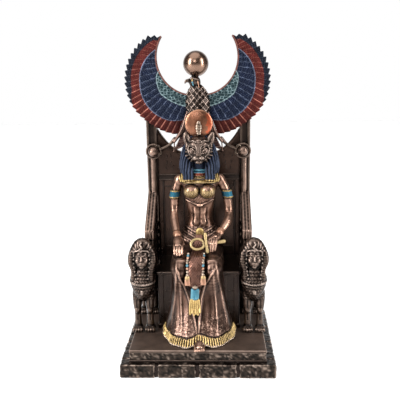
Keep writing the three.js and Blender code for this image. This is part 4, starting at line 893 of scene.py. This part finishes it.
def falcon_body():
    """Body with its lattice, head, orb, tail fan, and the legs that hold the balls."""
    y = WING_REAR - 3.5
    clay = Clay([-46, 19, WING_Z - 70], [46, 42, WING_Z + 27], BIRD_VOXEL)
    body = [[0.4, -34], [0.4, -28], [0.2, -20], [-0.4, -13], [-1.4, -8], [-2, -2.6]]
    clay.add(chain([[x, y, WING_Z + rise] for x, rise in body],
        [6.2, 9, 10.7, 8.8, 5.1, 4.2], (1, 0.64, 1)), "dark")

    def lattice(x, y_, z):
        """Slanting ridges that cross."""
        u, v = x * 0.52, (z - WING_Z) * 0.42
        falling, rising = np.sin((u + v) * 1.25) ** 2, np.sin((u - v) * 1.25) ** 2
        return 0.36 * np.exp(-12 * falling) + 0.36 * np.exp(-12 * rising)

    # The lattice's crests take the rubbed paint: buffed bronze with a painted highlight.
    clay.emboss([-13, 19, WING_Z - 36], [13, 42, WING_Z - 4],
        lattice, ["dark"], {"rubbed_highlight": lambda x, y_, z: lattice(x, y_, z) > 0.3})
    clay.add(ellipsoid([-2.2, y - 0.3, WING_Z - 1.2], [5, 4.7, 4.9]), "dark", 1)
    beak = [[-6, y - 0.3, WING_Z - 0.6], [-9.4, y - 0.3, WING_Z - 0.9], [-10.8, y - 0.3, WING_Z - 2.8]]
    clay.add(chain(beak, [2, 1.3, 0.6], (1, 0.8, 1)), "dark", 0.6)
    # The brow in the rubbed paint: buffed bronze with a painted highlight.
    brow = [[-6, y - 3.6, WING_Z + 0.8], [-3.6, y - 4.8, WING_Z + 1.5], [-0.4, y - 4.8, WING_Z + 0.6]]
    clay.add(chain(brow, 0.5), "rubbed_highlight", 0.3)
    clay.add(ellipsoid([-4, y - 4.3, WING_Z - 0.4], [1, 0.8, 0.9]), "gold", 0.2)
    cheek = [[-4.2, y - 4.4, WING_Z - 1.8], [-3.4, y - 4.3, WING_Z - 5]]
    clay.add(rod(cheek, [0.6, 0.4]), "turquoise", 0.2)
    neck = [[0.6, y - 4.4, WING_Z - 1.6], [1.6, y - 3.6, WING_Z - 6.4]]
    clay.add(rod(neck, [0.6, 0.4]), "copper", 0.2)
    clay.add(ellipsoid([-1, y, WING_Z + ORB_RISE], [ORB_RADIUS] * 3), "orb", 0.1)
    # Tail fan
    root, spread, foot = WING_Z - 26, 22.2, WING_Z - 62.4
    fan_y = WING_REAR - 2.4

    def fan(x, y_, z):
        """A thin sheet that spreads down to a curved edge."""
        t = np.clip((root - z) / (root - foot), 0, 1)
        half = 8.5 + (spread - 8.5) * t**1.4
        lower = foot + 7 * (1 - (x / spread) ** 2)
        return np.maximum(np.maximum(abs(x) - half, z - root),
            np.maximum(lower - z, abs(y_ - fan_y) - 1.5)) * 0.85

    clay.add((fan, np.array([-spread, fan_y - 2, foot]), np.array([spread, fan_y + 2, root])),
        "tail", 0.3)

    def barbs(x, y_, z):
        """Feathers that spread from the root."""
        bearing = x / np.maximum(WING_Z - 8 - z, 6)
        return 0.4 * abs(np.sin(bearing * 17)) + 0.1 * np.sin(z * 3 + 9 * abs(bearing))

    clay.emboss([-24, 19, foot - 1], [24, fan_y, root], barbs, ["tail"])
    edge = [[8, fan_y - 1.6, root + 1], [10.4, fan_y - 2.2, WING_Z - 33],
        [14.5, fan_y - 2.4, WING_Z - 44], [21, fan_y - 2, WING_Z - 53.4]]
    clay.add(chain(edge, [1.4, 1.8, 1.8, 1.2]), "tail", 0.2, both=True)
    clay.add(rod([[21, fan_y - 1.6, WING_Z - 53.4], [21.6, fan_y - 1.4, foot + 1.2]], 0.6),
        "tail", 0.2, both=True)
    # Legs out to the balls, and a clawed ring round each
    for side in (-1, 1):
        ball = np.array([side * BALL_X, BALL_Y + 2.1, BALL_Z])
        leg = [[side * 20.6, fan_y - 0.6, WING_Z - 51],
            [side * 26, fan_y - 1.2, WING_Z - 56.5], [side * (BALL_X - 6.3), ball[1], BALL_Z + 2]]
        clay.add(chain(leg, [1.8, 1.3, 1.2]), "dark", 0.5)
        clay.add(hoop(ball, 6.2, 0.95), "dark", 0.3)
        for turn in (-0.3, 0.9):
            bend = ((6.3, turn * 0.5, 0), (6.7, turn, -2.4), (5.6, turn * 1.25, -4.8))
            claw = [ball + [-side * r * math.cos(a), ahead, r * math.sin(a)] for r, a, ahead in bend]
            clay.add(chain(claw, [1.1, 1, 0.5]), "lace", 0.3)
    clay.skin("falcon_body", "falcon", replaces="falcon")


RED, COPPER_LINE = (0.042, 0.006, 0.005), (0.330, 0.125, 0.088)
NAVY, PALE_LINE = (0.003, 0.004, 0.007), (0.066, 0.080, 0.118)
BLUE = (0.002, 0.004, 0.012)
TEAL, TEAL_LINE = (0.008, 0.018, 0.021), (0.125, 0.172, 0.180)

# The wing lies between two arcs. Angles in degrees run from its tip down to its root
FEATHERS = 24
POINTS_PER_FEATHER = 16
TIP_ANGLE, ROOT_ANGLE = 75.0, -93.0
INNER_TIP_ANGLE, INNER_ROOT_ANGLE = 31.0, -88.0
BEND_ANGLE = 60.0
OUTER_RADIUS, INNER_RADIUS = 43.8, 31.9
OUTER_X, INNER_X = 20.3, 3.1
INNER_Z = WING_Z + 19.4
TIP_DRAWN_IN, ROOT_LET_OUT = 26.4, 8.8
RIM_WIDTH, TEAL_WIDTH, NAVY_WIDTH, BLUE_RADIUS = 1.3, 10.5, 6.0, 30.0
WING_FRONT, WING_BACK = WING_REAR - 2.7, WING_REAR - 0.4
BACK_COLOUR = (0.030, 0.028, 0.036)


def wing(side):
    """One wing as a grid, from its upper edge (v = 0) to the feather tips, coloured in bands."""
    across = POINTS_PER_FEATHER * FEATHERS
    along = 74
    share = np.linspace(0, 1, across + 1)[:, None]
    v = np.linspace(0, 1, along + 1)[None, :]
    outer_angle = np.radians(TIP_ANGLE + (ROOT_ANGLE - TIP_ANGLE) * share)
    inner_angle = np.radians(INNER_TIP_ANGLE + (INNER_ROOT_ANGLE - INNER_TIP_ANGLE) * share)
    first, bend = math.radians(TIP_ANGLE), math.radians(BEND_ANGLE)
    tipward = np.maximum(0, outer_angle - bend) / first
    rootward = np.maximum(0, -outer_angle - bend) / first
    phase = (share * FEATHERS) % 1
    falling = np.where(phase > 0.95, 1 - (phase - 0.95) / 0.15, (phase - 0.1) / 0.85)
    notch = np.where(phase < 0.1, (0.1 - phase) * 4.4, falling)
    sharp = np.clip(1.25 - share, 0.25, 1)
    smooth = OUTER_RADIUS - TIP_DRAWN_IN * tipward + ROOT_LET_OUT * rootward
    radius = smooth - 2.5 * sharp * notch
    far_x = OUTER_X + radius * np.cos(outer_angle)
    far_z = WING_Z + radius * np.sin(outer_angle)
    near_x = INNER_X + INNER_RADIUS * np.cos(inner_angle)
    near_z = INNER_Z + INNER_RADIUS * np.sin(inner_angle)
    x, z = near_x + (far_x - near_x) * v, near_z + (far_z - near_z) * v
    from_outer = np.hypot(x - OUTER_X, z - WING_Z)
    from_inner = np.hypot(x - INNER_X, z - INNER_Z)
    share, v, phase = (np.broadcast_to(a, x.shape) for a in (share, v, phase))
    rim = from_inner < INNER_RADIUS + RIM_WIDTH
    teal_edge = INNER_RADIUS + TEAL_WIDTH * np.clip((share - 0.44) / 0.25, 0, 1) ** 0.6
    teal = (from_inner < teal_edge) & ~rim
    blue_edge = BLUE_RADIUS - 8 * np.clip((0.14 - share) / 0.14, 0, 1)
    blue_edge = blue_edge + 5 * np.clip((share - 0.5) / 0.4, 0, 1)
    blue = (from_outer < blue_edge) & ~rim & ~teal
    navy_depth = NAVY_WIDTH * np.clip((0.64 - share) / 0.12, 0, 1)
    navy = ~rim & ~teal & ~blue & (from_outer > smooth - navy_depth)
    red = ~rim & ~teal & ~blue & ~navy
    coarse = (share * FEATHERS * 0.75 + 0.04 * np.sin(from_outer * 1.3)) % 1
    wander = lumps(np.stack([x, z, 0 * x], -1).reshape(-1, 3), 2.2, 4.0).reshape(x.shape)
    weave = np.sin(from_outer * 3.6 + 2 * wander) * np.cos(share * 190)
    scroll = bump_at(np.sin(from_inner * 0.9 - 26) ** 2 + np.sin(share * 62) ** 2, 0.8, 0.22)
    shaft = bump_at(phase, 0.02, 0.06) + bump_at(phase, 1.02, 0.06)
    row = bump_at(coarse, 0, 0.06) + bump_at(coarse, 1, 0.06)
    barb = 0.07 * np.sin(from_outer * 4.4 + 2.4 * abs(phase - 0.5))
    height = np.where(red | navy, 0.45 * np.sin(np.pi * phase) + 0.35 * (1 - phase) + barb, 0)
    height = np.where(navy, height + 0.15, height)
    height = np.where(blue, 0.75 + 0.3 * np.sin(np.pi * coarse) + 0.12 * weave, height)
    height = np.where(teal, 1.35 + 0.25 * scroll, height)
    height = np.where(rim, 1.6, height)
    height = height - 0.9 * np.clip((v - 0.985) / 0.015, 0, 1)
    worn = np.clip(0.7 + 0.6 * wander, 0, 1)
    blue_line = between(from_outer, blue_edge - 0.35, blue_edge + 0.35) & ~teal & ~rim
    teal_line = between(from_inner, teal_edge - 0.3, teal_edge + 0.4) & (share > 0.44)
    bands = (
        (red, RED, COPPER_LINE, 0.9 * shaft * worn + 0.1 * (weave > 0.5)),
        (navy, NAVY, PALE_LINE, 0.6 * shaft * worn + 0.12 * (weave > 0.3)),
        (blue, BLUE, PALE_LINE, 0.75 * row * worn + 0.22 * (weave > 0.4)),
        (teal, TEAL, TEAL_LINE, scroll * worn),
        (rim, NAVY, COPPER_LINE, np.full(x.shape, 0.25)),
        (blue_line, PALE_LINE, PALE_LINE, row),
        (teal_line, TEAL_LINE, TEAL_LINE, row),
    )
    base = np.zeros((*x.shape, 3))
    for where, ground, line, amount in bands:
        mixed = np.array(ground) + (np.array(line) - np.array(ground)) * np.clip(amount, 0, 1)[..., None]
        base = np.where(where[..., None], mixed, base)
    # The red band darkens towards the wing's root, lower down: painted shade.
    painted_shade_rootward = 1 - 0.5 * np.clip((share - 0.55) / 0.4, 0, 1)
    base *= (np.where(red, painted_shade_rootward, 1) * (1 + 0.25 * wander))[..., None]
    front = np.stack([side * x, WING_FRONT - height, z], -1)
    back_cols = [0, 18, 36, 54, along]
    ribs = 0.35 * abs(np.sin(np.pi * phase[:, back_cols]))
    back = np.stack([side * x[:, back_cols], WING_BACK + ribs * 0.8, z[:, back_cols]], -1)
    rows = across + 1
    points = np.concatenate([front.reshape(-1, 3), back.reshape(-1, 3)])
    tints = np.concatenate([base.reshape(-1, 3), np.tile(BACK_COLOUR, (back.size // 3, 1))])
    f = np.arange(rows * (along + 1)).reshape(rows, along + 1)
    b = f.size + np.arange(rows * len(back_cols)).reshape(rows, len(back_cols))
    inner_wall = np.stack([f[:-1, 0], b[:-1, 0], b[1:, 0], f[1:, 0]], -1)
    outer_wall = np.stack([f[:-1, -1], f[1:, -1], b[1:, -1], b[:-1, -1]], -1)
    ends = []
    for row in (0, rows - 1):
        front_row = [f[row, c] for c in back_cols]
        for k in range(len(back_cols) - 1):
            cap = [front_row[k], front_row[k + 1], b[row, k + 1], b[row, k]]
            ends.append(cap if row == 0 else cap[::-1])
    quads = np.concatenate([sheet(f), sheet(b)[:, ::-1], inner_wall, outer_wall, np.array(ends)])
    if side < 0:
        quads = quads[:, ::-1]
    name = "wing_left" if side < 0 else "wing_right"
    build(name, points, quads, tints, np.full(len(quads), FINISHES.index("paint")))


def hashed(i, j, k):
    """A repeatable random value from 0 to 1 for each whole place."""
    value = np.sin(i * 127.1 + j * 311.7 + k * 74.7) * 43758.5453
    return value - np.floor(value)


def lumps(points, scale, seed=0.0):
    """Smooth random heights from -1 to 1 over space."""
    p = points / scale + seed
    whole = np.floor(p)
    part = p - whole
    part = part * part * (3 - 2 * part)
    total = 0
    for corner in [(i, j, k) for i in (0, 1) for j in (0, 1) for k in (0, 1)]:
        weight = np.prod(np.where(np.array(corner), part, 1 - part), 1)
        total = total + weight * hashed(*(whole + corner).T)
    return 2 * total - 1


class Slabs:
    """Boxes with softened edges, tinted lighter as buffed bronze with a painted highlight, gathered into
    one mesh.
    """

    def __init__(self):
        self.points, self.faces, self.tints, self.finish = [], [], [], []
        self.count = 0

    def grid_box(self, low, high, radius, spacing):
        """A box's surface as a cube-like grid, with its edges rounded; raised is 1 along the edges."""
        low, high = np.array(low, float), np.array(high, float)
        axes = []
        for a in range(3):
            length = high[a] - low[a]
            r = min(radius, length * 0.45)
            inner = max(1, int(round((length - 2 * r) / spacing)))
            middle = np.linspace(low[a] + r, high[a] - r, inner + 1)
            extra = min(1.2, (middle[1] - middle[0]) * 0.4)
            middle = np.concatenate([[middle[0], middle[0] + extra],
                middle[1:-1], [middle[-1] - extra, middle[-1]]])
            axes.append(np.concatenate([[low[a], low[a] + r * 0.3],
                middle, [high[a] - r * 0.3, high[a]]]))
        points, faces, offset = [], [], 0
        for axis in range(3):
            u, v = [(1, 2), (2, 0), (0, 1)][axis]
            gu, gv = np.meshgrid(axes[u], axes[v], indexing="ij")
            for end, value in enumerate((low[axis], high[axis])):
                p = np.zeros((gu.size, 3))
                p[:, axis], p[:, u], p[:, v] = value, gu.ravel(), gv.ravel()
                index = offset + np.arange(gu.size).reshape(gu.shape)
                quad = sheet(index)
                faces.append(quad if end else quad[:, ::-1])
                points.append(p)
                offset += gu.size
        points, faces = np.concatenate(points), np.concatenate(faces)
        unique, place = np.unique(np.round(points, 4), axis=0, return_inverse=True)
        faces = place.ravel()[faces]
        r = np.minimum(radius, (high - low) * 0.45)
        core = np.clip(unique, low + r, high - r)
        away = (unique - core) / r
        length = np.linalg.norm(away, axis=1, keepdims=True)
        rounding = (np.abs(away) > 0.2).sum(1) >= 2
        unique = core + away / np.maximum(length, 1e-6) * r * np.where(length > 0, 1, 0)
        return unique, faces, rounding

    def add(self, low, high, paint="dark", radius=0.6, spacing=12.0, rough=0.0, seed=0.0, edge=0.85):
        """One box; rough gives it a broken face."""
        points, faces, rounding = self.grid_box(low, high, radius, spacing)
        # Rounded edges are tinted lighter, by edge, and faces a little darker: buffed bronze and patina,
        # with painted highlight and painted shade.
        raised = np.where(rounding, edge, 0.42)
        if rough:
            centre = (np.array(low) + np.array(high)) / 2
            out = points - centre
            out /= np.linalg.norm(out, axis=1, keepdims=True)
            swell = lumps(points, 4.2, seed) * 0.5 + lumps(points, 1.8, seed + 9) * 0.5
            points = points + out * (swell - 0.3)[:, None] * rough * (points[:, 2] > 0.3)[:, None]
            fine = lumps(points, 1.3, seed + 4)
            # The tint follows the swell: lighter on bulges and edges, darker in dips, as wear with
            # painted highlight and patina with painted shade; the fine lumps are the blocks' own
            # mottling.
            raised = np.clip(0.3 + swell * 0.5 + fine * 0.55 + np.where(rounding, 0.4, 0), 0, 1)
        self.merge(points, faces, paint, raised)

    def merge(self, points, faces, paint, raised):
        """Adds points and quads of one paint."""
        self.points.append(points)
        self.faces.append(faces + self.count)
        label = np.full(len(points), PAINT_NAMES.index(paint))
        self.tints.append(colours(label, raised))
        self.finish.append(np.full(len(faces), FINISHES.index(PAINTS[paint][3])))
        self.count += len(points)

    def make(self, name, replaces=None):
        """Makes one mesh of them all."""
        return build(name, np.concatenate(self.points), np.concatenate(self.faces),
            np.concatenate(self.tints), np.concatenate(self.finish), replaces=replaces)


PANEL_RISE, SCOOP_DEPTH, SCOOP_POWER = 171, 23.5, 2.8
HALF_SEAT = 36
PANEL_HALF = HALF_BACK - 9.4


def panel_top(x):
    """The scooped upper edge of the back panel."""
    return STEP_TOP + PANEL_RISE - SCOOP_DEPTH * (1 - np.abs(x / PANEL_HALF) ** SCOOP_POWER)


def throne():
    """The back panel and the seat as slabs, and then the posts and arms."""
    slabs = Slabs()
    inner = PANEL_HALF
    front = POST_FRONT + 4
    rear = front + 6
    rail = STEP_TOP + 123.5
    seat_top = STEP_TOP + 52
    # The back panel, with a scooped upper edge
    columns, rows = 60, 40
    u = np.linspace(-inner, inner, columns + 1)
    top = panel_top(u)
    level = lambda y, t: np.stack([u, np.full_like(u, y), STANDING + (top - STANDING) * t], 1)
    points = np.concatenate([level(y, t) for y in (front, rear) for t in np.linspace(0, 1, rows + 1)])
    index = np.arange(len(points)).reshape(2, rows + 1, columns + 1)
    faces = [sheet(index[0])[:, ::-1], sheet(index[1])]
    for edge in (index[:, -1, :], index[:, ::-1, 0], index[:, :, -1], index[:, 0, ::-1]):
        faces.append(np.stack([edge[0, :-1], edge[0, 1:], edge[1, 1:], edge[1, :-1]], -1))
    raised = 0.36 + 0.12 * lumps(points, 14.0).reshape(2, rows + 1, columns + 1)
    # The scooped top edge is tinted light: buffed bronze with a painted highlight.
    raised[:, -1, :] = 0.8
    slabs.merge(points, np.concatenate(faces), "panel", raised.ravel())
    # Edge bead along the scoop, the rails and the framed lower panels
    for low, high in ((rail, rail + 1.4), (rail + 4.6, rail + 6)):
        slabs.add([-inner, front - 1.2, low], [inner, front + 1, high], radius=0.5)
    slabs.add([-inner, front - 0.6, rail + 0.8], [inner, front + 1, rail + 5.2], radius=0.2, edge=0.4)
    for side in (-1, 1):
        x = side * (inner - 4.5)
        slabs.add([x - 1, front - 0.8, seat_top - 1], [x + 1, front + 1, rail + 0.5], radius=0.4)
        x = side * 14.0
        slabs.add([x - 0.7, front - 0.6, seat_top - 1], [x + 0.7, front + 1, rail + 0.5], radius=0.3)
        slabs.add([side * 24 - 8.2, front - 0.5, seat_top + 8],
            [side * 24 + 8.2, front + 1, seat_top + 9.2], radius=0.3)
        slabs.add([side * 24 - 8.2, front - 0.5, rail - 6],
            [side * 24 + 8.2, front + 1, rail - 4.8], radius=0.3)
    # Rows of small generic strokes in low relief, in the upper panel
    for row in range(3):
        for k in range(11):
            x = -30 + 6 * k + 1.2 * math.sin(3 * k + row)
            z = rail + 10 + 5.4 * row
            tall = 2.2 + 1.2 * hashed(np.array(k), np.array(row), np.array(3.0))
            if panel_top(x) - z > 5:
                slabs.add([x - 0.45, front - 0.35, z],
                    [x + 0.45, front + 0.6, z + float(tall)], radius=0.2, edge=0.7)
    # Panels on the rear
    for side in (-1, 1):
        slabs.add([side * 17 - 14, rear - 0.6, STEP_TOP + 26],
            [side * 17 + 14, rear + 0.7, STEP_TOP + 118], radius=0.6)
    for level in (20, 132):
        slabs.add([-inner + 5, rear - 1, STEP_TOP + level],
            [inner - 5, rear + 1, STEP_TOP + level + 4], radius=0.5)
    # Seat: block, cushion edge, foot and the bays of its front
    seat_front = POST_FRONT - 44.5
    slabs.add([-HALF_SEAT + 0.8, seat_front + 1.2, STANDING],
        [HALF_SEAT - 0.8, front + 1, seat_top - 0.4], radius=0.4, edge=0.5)
    slabs.add([-HALF_SEAT, seat_front, seat_top - 3], [HALF_SEAT, front + 1, seat_top], radius=0.8)
    slabs.add([-HALF_SEAT, seat_front, STANDING], [HALF_SEAT, front + 1, STEP_TOP + 4], radius=0.6)
    bays = 7
    bay = (2 * HALF_SEAT - 8) / bays
    for k in range(bays + 1):
        x = -HALF_SEAT + 4 + bay * k
        slabs.add([x - 1.6, seat_front, STEP_TOP + 3.6],
            [x + 1.6, seat_front + 2.5, seat_top - 2.6], radius=0.4, edge=0.65)
        if k < bays:
            for level in (14, 24, 34):
                slabs.add([x + 1.2, seat_front + 0.7, STEP_TOP + level],
                    [x + bay - 1.2, seat_front + 2, STEP_TOP + level + 1], radius=0.3, edge=0.6)
    slabs.make("throne_body", replaces="throne")
    throne_side()


def throne_side():
    """A post with its pole and ball, and the reeded arm with its panel, sculpted once and mirrored."""
    top = throne_high[2]
    x0, x1 = PANEL_HALF, HALF_BACK
    clay = Clay([x0 - 4, POST_FRONT - 47, STANDING], [x1 + 1, POST_REAR + 0.5, top], POST_VOXEL)
    clay.add(rounded_box([x0, POST_FRONT, STANDING], [x1, POST_REAR, top], 0.7), "dark", 0.2)
    # Long panels let into the post's outer side and rear
    clay.cut(rounded_box([x1 - 0.7, POST_FRONT + 2.4, STEP_TOP + 14],
        [x1 + 3, POST_REAR - 2.4, top - 12], 0.4), 0.3)
    clay.cut(rounded_box([x0 + 2, POST_REAR - 0.7, STEP_TOP + 14],
        [x1 - 2, POST_REAR + 3, top - 12], 0.4), 0.3)
    pole_x = x0 + 3.7
    arm_top, arm_front = STEP_TOP + 116, STEP_TOP + 87.3
    clay.add(rod([[pole_x, POST_FRONT - 0.2, arm_top - 3], [pole_x, POST_FRONT - 0.2, BALL_Z]], 2.8),
        "post", 0.2)
    clay.add(rod([[pole_x, POST_FRONT, BALL_Z - 0.6], [BALL_X, BALL_Y, BALL_Z]], 2), "dark", 0.4)
    clay.add(ellipsoid([BALL_X, BALL_Y, BALL_Z], [4.7, 4.7, 4.7]), "post", 0.2)
    clay.add(rounded_box([x1 - 2.4, POST_FRONT - 0.6, arm_top - 4],
        [x1 - 0.3, POST_FRONT + 1, top - 3], 0.4), "dark", 0.2)
    yr, yf = POST_FRONT + 1, ARM_FRONT
    middle = x1 - 4.3
    for k in (-1, 0, 1):
        x = middle + k * 2.7
        reed = [[x, yr, arm_top - 1.6], [x, yf + 1.6, arm_front - 1.6], [x, yf + 1.7, STANDING + 79]]
        clay.add(rod(reed, 1.5), "post", 0.1)
    slope = (arm_top - arm_front) / (yr - yf)
    tilt = math.hypot(1, slope)

    def block(x, y, z):
        """The wall under the sloping arm."""
        crest = arm_front - 2.2 + (y - yf) * slope
        sides = np.maximum(abs(x - middle) - 3.3, (z - crest) / tilt)
        return np.maximum(sides, np.maximum(np.maximum(SIDE_PANEL_LOW - z, yf + 2 - y), y - yr))

    def fretwork(x, y, z):
        """Rows of short raised bars."""
        rise = z - SIDE_PANEL_LOW
        rows = np.sign(np.cos(rise * 0.9)) * (abs(np.cos(y * 0.4)) > 0.35)
        return 0.32 * rows * between(rise, 4, slope * (y - yf) + 12)

    clay.add((block, np.array([middle - 4, yf, SIDE_PANEL_LOW]), np.array([middle + 4, yr, arm_top])),
        "dark", 0.3)
    clay.emboss([middle - 5, yf, SIDE_PANEL_LOW], [middle + 5, yr, arm_top], fretwork, ["dark"])
    for side in (-1, 1):
        name = "throne_left" if side < 0 else "throne_right"
        clay.skin(name, "throne", flip=side < 0, rub_and_shade=5.0)


BLOCK_HEIGHT = 12.0
BLOCK_JOINT = 0.9
STEP_HALF_WIDTH, STEP_HALF_DEPTH = 56, 51.5


def plinth():
    """Rough blocks in a ring, and the step with its worn band and smooth top inside them."""
    slabs = Slabs()
    width, depth = plinth_high[0] - GAP, -plinth_low[1] - GAP
    height, joint = BLOCK_HEIGHT, BLOCK_JOINT
    border = width - STEP_HALF_WIDTH + 3
    half_x, half_y = STEP_HALF_WIDTH, STEP_HALF_DEPTH
    slabs.add([-width + 1.8, -depth + 1.8, 0], [width - 1.8, depth - 1.8, height - 1],
        radius=0.3, spacing=30, edge=0.3)
    across = [0, 0.236, 0.5, 0.757, 1]
    look = dict(radius=1.4, spacing=1.0, rough=0.95)
    for row, near in enumerate((-depth, depth - border)):
        for k in range(4):
            start, end = across[k], across[k + 1]
            if row:
                start, end = 1 - across[4 - k], 1 - across[3 - k]
            x0 = -width + 2 * width * start + (joint if start > 0 else 0)
            x1 = -width + 2 * width * end - (joint if end < 1 else 0)
            slabs.add([x0, near, 0], [x1, near + border, height],
                "stone", seed=3.3 * k + 17 * row, **look)
    run = 2 * (depth - border)
    for side in (0, 1):
        x0 = width - border if side else -width
        for k in range(3):
            y0 = -depth + border + run * 0.333 * k + joint
            y1 = -depth + border + run * 0.333 * (k + 1) - joint
            slabs.add([x0, y0, 0], [x0 + border, y1, height],
                "stone", seed=50 + 7.1 * k + 29 * side, **look)
    slabs.add([-half_x, -half_y, height - 2], [half_x, half_y, height + 2],
        radius=0.7, spacing=10, edge=0.8)
    band = dict(radius=0.4, spacing=1.2, rough=0.12, seed=2.0)
    inset = 0.8
    near = [inset - half_x, inset - half_y, height + 1]
    far = [half_x - inset, half_y - inset, STEP_TOP - 1.2]
    slabs.add(near, far, "stone", **band)
    inset = 0.4
    near = [inset - half_x, inset - half_y, STEP_TOP - 2.4]
    far = [half_x - inset, half_y - inset, STEP_TOP]
    slabs.add(near, far, "step", 0.8, 10, edge=0.8)
    slabs.make("plinth_blocks", replaces="stone_plinth")


CAMERA_PLACE, CAMERA_LENS = (17.2, -446.4, 230.4), 48.2
CAMERA_YAW, CAMERA_PITCH, CAMERA_ROLL = -0.034, 0.210, -0.014


def camera():
    """Stands where the photo was taken from, worked out from the plinth's and throne's corners."""
    eye = show("camera", bpy.data.cameras.new("camera"))
    eye.data.lens = CAMERA_LENS
    eye.data.sensor_width = 36
    yaw, pitch, roll = CAMERA_YAW, CAMERA_PITCH, CAMERA_ROLL
    ahead = Vector((math.sin(yaw) * math.cos(pitch), math.cos(yaw) * math.cos(pitch), -math.sin(pitch)))
    right = Vector((math.cos(yaw), -math.sin(yaw), 0))
    up = right.cross(ahead)
    tilted_right = math.cos(roll) * right + math.sin(roll) * up
    tilted_up = -math.sin(roll) * right + math.cos(roll) * up
    turn = Matrix((tilted_right, tilted_up, -ahead)).transposed().to_4x4()
    eye.matrix_world = Matrix.Translation(Vector(CAMERA_PLACE) * MM) @ turn
    bpy.context.scene.camera = eye


def softbox(name, place, aim, size, power):
    """An oblong lamp that faces a point."""
    data = bpy.data.lights.new(name, "AREA")
    data.shape = "RECTANGLE"
    data.size, data.size_y = size
    data.energy = power
    lamp = show(name, data)
    lamp.location = place
    lamp.rotation_euler = (Vector(aim) - Vector(place)).to_track_quat("-Z", "Y").to_euler()


ROOM_LIGHT = 0.08
SUN_STRENGTH = 3.0


def surroundings():
    """The studio: world, floor and lamps."""
    world = bpy.data.worlds.new("studio")
    world.use_nodes = True
    tree = world.node_tree
    background = tree.nodes["Background"]
    background.inputs["Color"].default_value = (1, 1, 1, 1)
    # A dim room whose far wall, behind the statue, is lit white
    direction, parts = node(tree, "TexCoord"), node(tree, "SeparateXYZ")
    wall = node(tree, "MapRange", From_Min=0.55, From_Max=0.75, To_Min=ROOM_LIGHT, To_Max=1.0)
    tree.links.new(direction.outputs["Generated"], parts.inputs["Vector"])
    tree.links.new(parts.outputs["Y"], wall.inputs["Value"])
    tree.links.new(wall.outputs["Result"], background.inputs["Strength"])
    bpy.context.scene.world = world
    half = 3.0
    mesh = bpy.data.meshes.new("floor")
    mesh.from_pydata([(-half, -half, 0), (half, -half, 0), (half, half, 0), (-half, half, 0)],
        [], [(0, 1, 2, 3)])
    material = bpy.data.materials.new("pale floor")
    material.use_nodes = True
    shader = material.node_tree.nodes["Principled BSDF"]
    shader.inputs["Base Color"].default_value = (0.9, 0.9, 0.9, 1)
    shader.inputs["Roughness"].default_value = 0.7
    mesh.materials.append(material)
    floor = show("floor", mesh)
    target = (0, 0, 0.13)
    softbox("key", (-0.72, -0.46, 0.46), target, (0.24, 0.7), 17)
    softbox("fill", (0.78, -0.36, 0.42), target, (0.2, 0.8), 13)
    softbox("front", (-0.16, -0.9, 0.62), target, (0.3, 0.3), 3.5)
    overhead = bpy.data.lights.new("overhead", "SUN")
    overhead.energy = SUN_STRENGTH
    overhead.angle = math.radians(70)
    show("overhead", overhead).rotation_euler = (math.radians(12), math.radians(-8), 0)
    bpy.context.scene.view_settings.view_transform = "Standard"


goddess_head()
goddess_body()
goddess_skirt()
sphinxes()
falcon_body()
wing(-1)
wing(1)
throne()
plinth()
camera()
surroundings()
